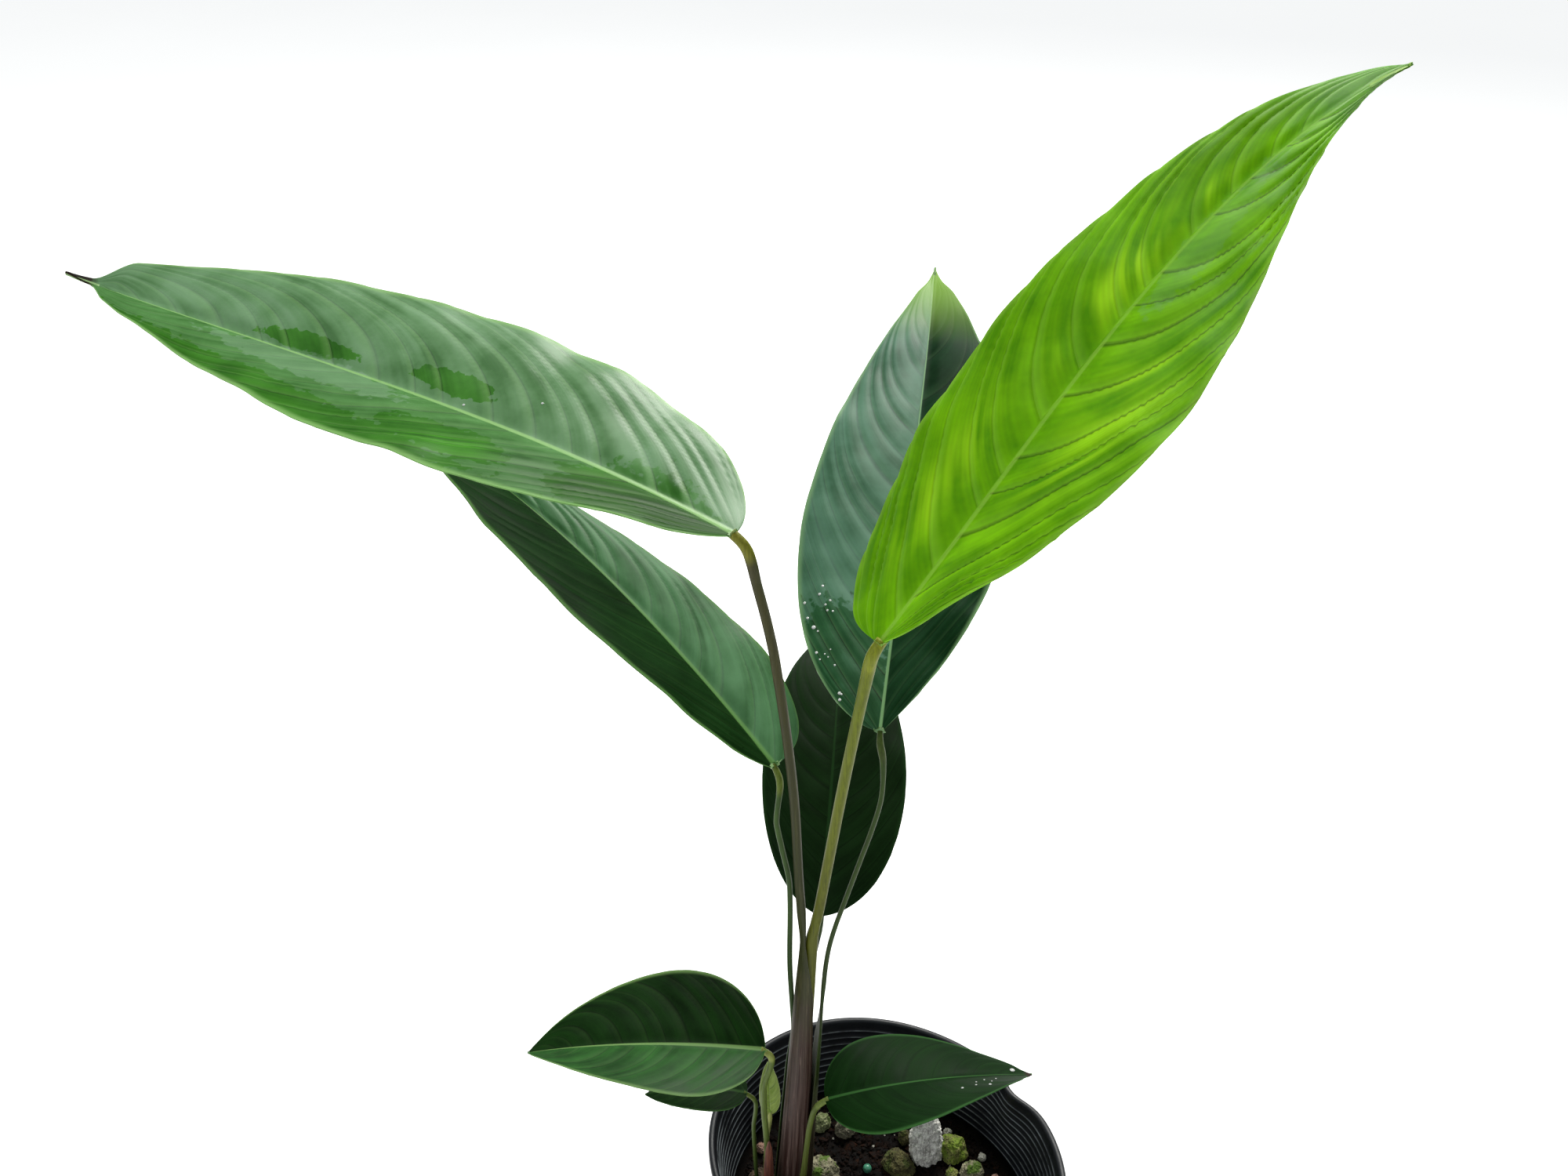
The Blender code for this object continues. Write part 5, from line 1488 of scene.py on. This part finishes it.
def side_stalk(name):
    values = SIDE_PETIOLES[name]
    foot = side_foot(values).to_3d()
    stations, middles = [], []
    for height, share in ((-STALK_SINK, 0.0), (0.0, 0.0), (values["neck"] / 2, NECK_SHARE)):
        radius = lerp(values["foot_radius"], values["radius"][0], share)
        middles.append(foot + Vector((0.0, 0.0, height)))
        stations.append((middles[-1], radius, radius, ROUND_BEND / radius))
    route = [foot + Vector(point) for point in values["via"]]
    for point, radius in free_stalk(middles[-2:], route, values, BLADES[name]):
        left = max(1 - point.z / values["neck"], 0.0)
        radius = max(radius, lerp(values["radius"][0], values["foot_radius"], FOOT_SWELL * left))
        stations.append((point, radius, radius, ROUND_BEND / radius))
    return stations, Vector((1.0, 0.0, 0.0))


# %% Refine and skin a stalk
def refine(stations):
    """Put rings between the stations, on a smooth line, with sizes eased from one to the next."""
    points = [station[0] for station in stations]
    fine = []
    for span in range(len(stations) - 1):
        for step in range(RINGS_PER_STATION):
            share = step / RINGS_PER_STATION
            sizes = [lerp(stations[span][part], stations[span + 1][part], share)
                     for part in (1, 2)]
            radius = 1 / lerp(1 / stations[span][3], 1 / stations[span + 1][3], share)
            fine.append((spline_point(points, span, share), *sizes, radius))
    return fine + [stations[-1]]


def skin(name, stations, outward, steps, ridge, ridges):
    """Loft the bent oval section along the stations, with lengthwise ridges on its outer face."""
    corners, along, around = [], [], []
    run = 0.0
    for index, (middle, wide, thick, curvature) in enumerate(stations):
        before = stations[max(index - 1, 0)][0]
        after = stations[min(index + 1, len(stations) - 1)][0]
        run += (middle - before).length
        forward = (after - before).normalized()
        outward = (outward - outward.dot(forward) * forward).normalized()
        sideways = forward.cross(outward)
        reach = wide * curvature
        for side in (1, -1):
            for step in range(steps + 1):
                share = side * (2 * step / steps - 1)
                lift = math.sqrt(1 - (SECTION_REACH * share) ** 2)
                radius = 1 / curvature + side * thick * lift
                radius += ridge * math.cos(ridges * math.pi * share) * lift if side > 0 else 0.0
                out = radius * math.cos(share * reach) - 1 / curvature
                corners.append(middle + sideways * radius * math.sin(share * reach)
                               + outward * out)
                along.append(run)
                around.append(share * side)
    count = 2 * (steps + 1)
    rings = len(stations)
    grid = np.arange(rings * count).reshape(rings, count)
    following = np.roll(grid, -1, axis=1)
    faces = np.stack([grid[:-1], following[:-1], following[1:], grid[1:]], -1).reshape(-1, 4)
    faces = faces.tolist() + [grid[0][::-1].tolist(), grid[-1].tolist()]
    mesh = make_mesh(name, corners, faces,
                     {"along": np.array(along) / run, "around": around})
    print(name, len(mesh.polygons), "faces", "length", round(1000 * run), "mm")
    return mesh


# %% [markdown]
# A petiole is green and waxy above. Its sheath is stained purple-brown by anthocyanin and streaked
# with drying fibres, and the swollen joint under the blade, the pulvinus, is a yellower olive.

# %% Petiole and sheath finish
def stalk_finish(name, foot, middle, head, joint, sheath_to, joint_from, streak="#8a7a66",
                 streak_share=0.2, gloss=0.42, stained=0.0):
    """sheath_to: where the sheath's stain has faded. joint_from: where the pulvinus starts.

    stained: how dark the purple-brown bands and edges of the sheath are.
    """
    material, tree, shader = new_material("stalk_" + name + "_waxy_skin")
    along = leaf_attribute(tree, "along")
    coordinates = add(tree, "ShaderNodeTexCoord").outputs["Object"]
    grain = add(tree, "ShaderNodeMapping", {"Vector": coordinates,
                                            "Scale": (1100.0, 1100.0, 28.0)})
    fibres = add(tree, "ShaderNodeTexNoise", {"Vector": grain, "Scale": 1.0, "Detail": 5.0,
                                              "Roughness": 0.7})
    blotch = add(tree, "ShaderNodeTexNoise", {"Vector": coordinates, "Scale": 90.0,
                                              "Detail": 3.0})
    wander = add(tree, "ShaderNodeMapRange", {"Value": blotch, "To Min": -0.06,
                                              "To Max": 0.06})
    place = add(tree, "ShaderNodeMath", {0: along, 1: wander}, operation="ADD")
    stain = add(tree, "ShaderNodeMapRange", {"Value": place, "From Min": sheath_to * 0.55,
                                             "From Max": sheath_to},
                interpolation_type="SMOOTHSTEP")
    colour = add(tree, "ShaderNodeMix", {"Factor": stain, "A": linear(foot),
                                         "B": linear(middle)}, data_type="RGBA")
    upper = add(tree, "ShaderNodeMapRange", {"Value": place, "From Min": sheath_to,
                                             "From Max": joint_from},
                interpolation_type="SMOOTHSTEP")
    colour = add(tree, "ShaderNodeMix", {"Factor": upper, "A": colour, "B": linear(head)},
                 data_type="RGBA")
    swell = add(tree, "ShaderNodeMapRange", {"Value": along, "From Min": joint_from,
                                             "From Max": joint_from + 0.012})
    colour = add(tree, "ShaderNodeMix", {"Factor": swell, "A": colour, "B": linear(joint)},
                 data_type="RGBA")
    around = leaf_attribute(tree, "around")
    round_stalk = add(tree, "ShaderNodeCombineXYZ",
                      {"X": add(tree, "ShaderNodeMath", {0: around, 1: 5.0},
                                operation="MULTIPLY"),
                       "Y": add(tree, "ShaderNodeMath", {0: along, 1: 1.6},
                                operation="MULTIPLY")})
    bands = add(tree, "ShaderNodeTexNoise", {"Vector": round_stalk, "Scale": 2.0,
                                             "Detail": 3.0, "Roughness": 0.6})
    bands = add(tree, "ShaderNodeMapRange", {"Value": bands, "From Min": 0.44,
                                             "From Max": 0.56, "To Min": 1.0, "To Max": 0.0})
    edge = add(tree, "ShaderNodeMath", {0: around}, operation="ABSOLUTE")
    edge = add(tree, "ShaderNodeMapRange", {"Value": edge, "From Min": 0.8, "From Max": 0.97})
    bands = add(tree, "ShaderNodeMath", {0: bands, 1: edge}, operation="MAXIMUM")
    on_sheath = add(tree, "ShaderNodeMapRange", {"Value": stain, "To Min": stained,
                                                 "To Max": 0.0})
    bands = add(tree, "ShaderNodeMath", {0: bands, 1: on_sheath}, operation="MULTIPLY")
    colour = add(tree, "ShaderNodeMix", {"Factor": bands, "A": colour, "B": linear("#2a120c")},
                 data_type="RGBA")
    pale = add(tree, "ShaderNodeMapRange", {"Value": fibres, "From Min": 0.58,
                                            "From Max": 0.72, "To Max": streak_share})
    fresh = add(tree, "ShaderNodeMapRange", {"Value": stain, "To Min": 1.0, "To Max": 0.2})
    pale = add(tree, "ShaderNodeMath", {0: pale, 1: fresh}, operation="MULTIPLY")
    colour = add(tree, "ShaderNodeMix", {"Factor": pale, "A": colour, "B": linear(streak)},
                 data_type="RGBA")
    shade = add(tree, "ShaderNodeMapRange", {"Value": fibres, "From Min": 0.3, "From Max": 0.6,
                                             "To Min": 0.6, "To Max": 1.1})
    colour = add(tree, "ShaderNodeVectorMath", {0: colour, "Scale": shade}, operation="SCALE")
    link(tree, colour, shader.inputs["Base Color"])
    shader.inputs["Specular IOR Level"].default_value = 0.2
    link(tree, add(tree, "ShaderNodeMapRange", {"Value": fibres, "To Min": gloss - 0.1,
                                                "To Max": gloss + 0.2}),
         shader.inputs["Roughness"])
    link(tree, add(tree, "ShaderNodeBump", {"Height": fibres, "Strength": 0.4,
                                            "Distance": 0.0003}), shader.inputs["Normal"])
    return material


STALK_FINISHES = {
    "upper_right": stalk_finish("upper_right", "#4c3b33", "#565a14", "#656f12", "#7c841c",
                                0.5, 0.955, "#a08a7c", 0.3, stained=0.85),
    "upper_left": stalk_finish("upper_left", "#51403a", "#343818", "#3c3a16", "#70701e",
                               0.50, 0.965, "#a08a80", 0.4, stained=0.9),
    "back": stalk_finish("back", "#2f2c1c", "#2c3c14", "#344a18", "#3c4c18", 0.45, 0.95,
                         stained=0.5),
    "mid_left": stalk_finish("mid_left", "#3a4424", "#2f4620", "#3a5222", "#5c6a24", 0.35, 0.95),
    "inner": stalk_finish("inner", "#2e2e1c", "#283a16", "#243816", "#33461a", 0.4, 0.94),
    "lower_left": stalk_finish("lower_left", "#4a3c26", "#4d5a26", "#5c6e2e", "#8a9448",
                               0.35, 0.94),
    "small": stalk_finish("small", "#40331f", "#3a4a20", "#44561f", "#5c6a28", 0.35, 0.94),
    "young": stalk_finish("young", "#5f5030", "#7c8048", "#8f9658", "#a4aa62", 0.4, 0.93),
    "lower_right": stalk_finish("lower_right", "#6f5a30", "#4f5724", "#515f24", "#6f7e3a",
                                0.5, 0.94),
}

# %% Build the stalks
for name in BLADES:
    main = name in MAIN_PETIOLES
    stations, side = (main_stalk if main else side_stalk)(name)
    stations = [(CROWN_POINT + station[0], *station[1:]) for station in refine(stations)]
    wide = main and MAIN_PETIOLES[name]["ring"] == "wrap"
    sheathed = main and MAIN_PETIOLES[name]["ring"] != "core"
    look = WIDE_SKIN if wide else NARROW_SKIN
    stalk = show("stalk_" + name, skin("stalk_" + name, stations, side, *look))
    stalk.data.materials.append(STALK_FINISHES[name])
    finish_piece(stalk, "sheath" if sheathed else "petiole", "petiole_" + name)

# %% [markdown]
# A dry scale leaf hugs the foot of the left side shoot: brown and papery, curling off at the top.

# %% Scale leaf
papery, tree, shader = new_material("dry_sheath_papery")
coordinates = add(tree, "ShaderNodeTexCoord").outputs["Object"]
grain = add(tree, "ShaderNodeMapping", {"Vector": coordinates, "Scale": (1200.0, 1200.0, 40.0)})
fibres = add(tree, "ShaderNodeTexNoise", {"Vector": grain, "Scale": 1.0, "Detail": 5.0,
                                          "Roughness": 0.7})
share = add(tree, "ShaderNodeMapRange", {"Value": fibres, "From Min": 0.35, "From Max": 0.68})
link(tree, add(tree, "ShaderNodeMix", {"Factor": share, "A": linear("#3c160e"),
                                       "B": linear("#7a4632")}, data_type="RGBA"),
     shader.inputs["Base Color"])
shader.inputs["Roughness"].default_value = 0.6
link(tree, add(tree, "ShaderNodeBump", {"Height": fibres, "Strength": 0.5,
                                        "Distance": 0.0003}), shader.inputs["Normal"])
SCALE_SHARES = (-0.2, 0.0, 0.25, 0.5, 0.75, 0.92, 1.0)
shoot = SIDE_PETIOLES["lower_left"]
side = direction(SCALE_LEAF["azimuth"], 0)
foot = CROWN_POINT + side_foot(shoot).to_3d()
half_thickness = SCALE_LEAF["thickness"] / 2
hug = shoot["foot_radius"] + GAP + half_thickness
stations = []
for share in SCALE_SHARES:
    height = -STALK_SINK if share < 0 else SCALE_LEAF["top"] * share
    closing = math.sqrt(1 - max(share, 0.0) ** 2)
    wide = lerp(half_thickness, math.radians(SCALE_LEAF["reach"]) * hug, closing)
    out = hug + SCALE_LEAF["lean"] * max(height, 0.0)
    stations.append((foot + side * out + Vector((0.0, 0.0, height)), wide, half_thickness,
                     1 / hug))
scale_leaf = show("dry_scale_leaf",
                  skin("dry_scale_leaf", refine(stations), side, *PAPER_SKIN))
scale_leaf.data.materials.append(papery)
finish_piece(scale_leaf, "dry_sheath", "scale_leaf")

# %% [markdown]
# ## Floor, light and camera
#
# The stage is plain: a pale floor that glows a little, as a light table does, a bright sky of soft
# light, one large soft lamp behind and to the right, which shines through the newest leaf and lays a
# sheen on the level ones, and a weaker fill.

# %% Floor and world
floor_paint, tree, shader = new_material("floor_pale_matt")
speckle = add(tree, "ShaderNodeTexNoise",
              {"Vector": add(tree, "ShaderNodeTexCoord").outputs["Object"], "Scale": 3.0})
link(tree, add(tree, "ShaderNodeMix", {"Factor": speckle, "A": linear("#f2f2f0"),
                                       "B": linear("#f7f7f5")}, data_type="RGBA"),
     shader.inputs["Base Color"])
shader.inputs["Roughness"].default_value = 0.9
shader.inputs["Emission Color"].default_value = (1.0, 1.0, 1.0, 1.0)
shader.inputs["Emission Strength"].default_value = 0.55
bpy.ops.mesh.primitive_plane_add(size=16.0)
floor = bpy.context.object
floor.name = "floor"
floor.data.materials.append(floor_paint)
floor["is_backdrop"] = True

world = bpy.data.worlds.new("soft_sky")
bpy.context.scene.world = world
world.use_nodes = True
sky = world.node_tree.nodes["Background"]
sky.inputs["Color"].default_value = (0.93, 0.97, 1.0, 1.0)
sky.inputs["Strength"].default_value = 0.42


# %% Lamps
def soft_lamp(name, place, target, width, power, colour):
    data = bpy.data.lights.new(name, "AREA")
    data.shape, data.size, data.energy, data.color = "DISK", width, power, colour
    lamp = bpy.data.objects.new(name, data)
    bpy.context.scene.collection.objects.link(lamp)
    lamp.location = place
    lamp.rotation_euler = (Vector(target) - Vector(place)).to_track_quat("-Z", "Y").to_euler()


plant_middle = (0.0, 0.05, 0.35)
soft_lamp("key", (0.35, 1.1, 1.6), plant_middle, 1.0, 42.0, (1.0, 0.99, 0.95))
soft_lamp("fill", (-1.2, -0.9, 1.3), plant_middle, 1.2, 8.0, (0.94, 0.97, 1.0))

# %% Camera
camera_data = bpy.data.cameras.new("camera")
camera_data.sensor_width, camera_data.lens = 36.0, 34.2
camera = bpy.data.objects.new("camera", camera_data)
bpy.context.scene.collection.objects.link(camera)
camera.location = (-0.0464, -0.433, 0.731)
camera.rotation_euler = (math.radians(57), 0.0, 0.0)
bpy.context.scene.camera = camera
bpy.context.scene.view_settings.view_transform = "Standard"

# %% Close
for helper in (angular, rounded):
    bpy.data.objects.remove(helper, do_unlink=True)
bpy.context.view_layer.update()
low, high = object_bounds()
print("finished box in mm:", [round(1000 * side) for side in high - low])
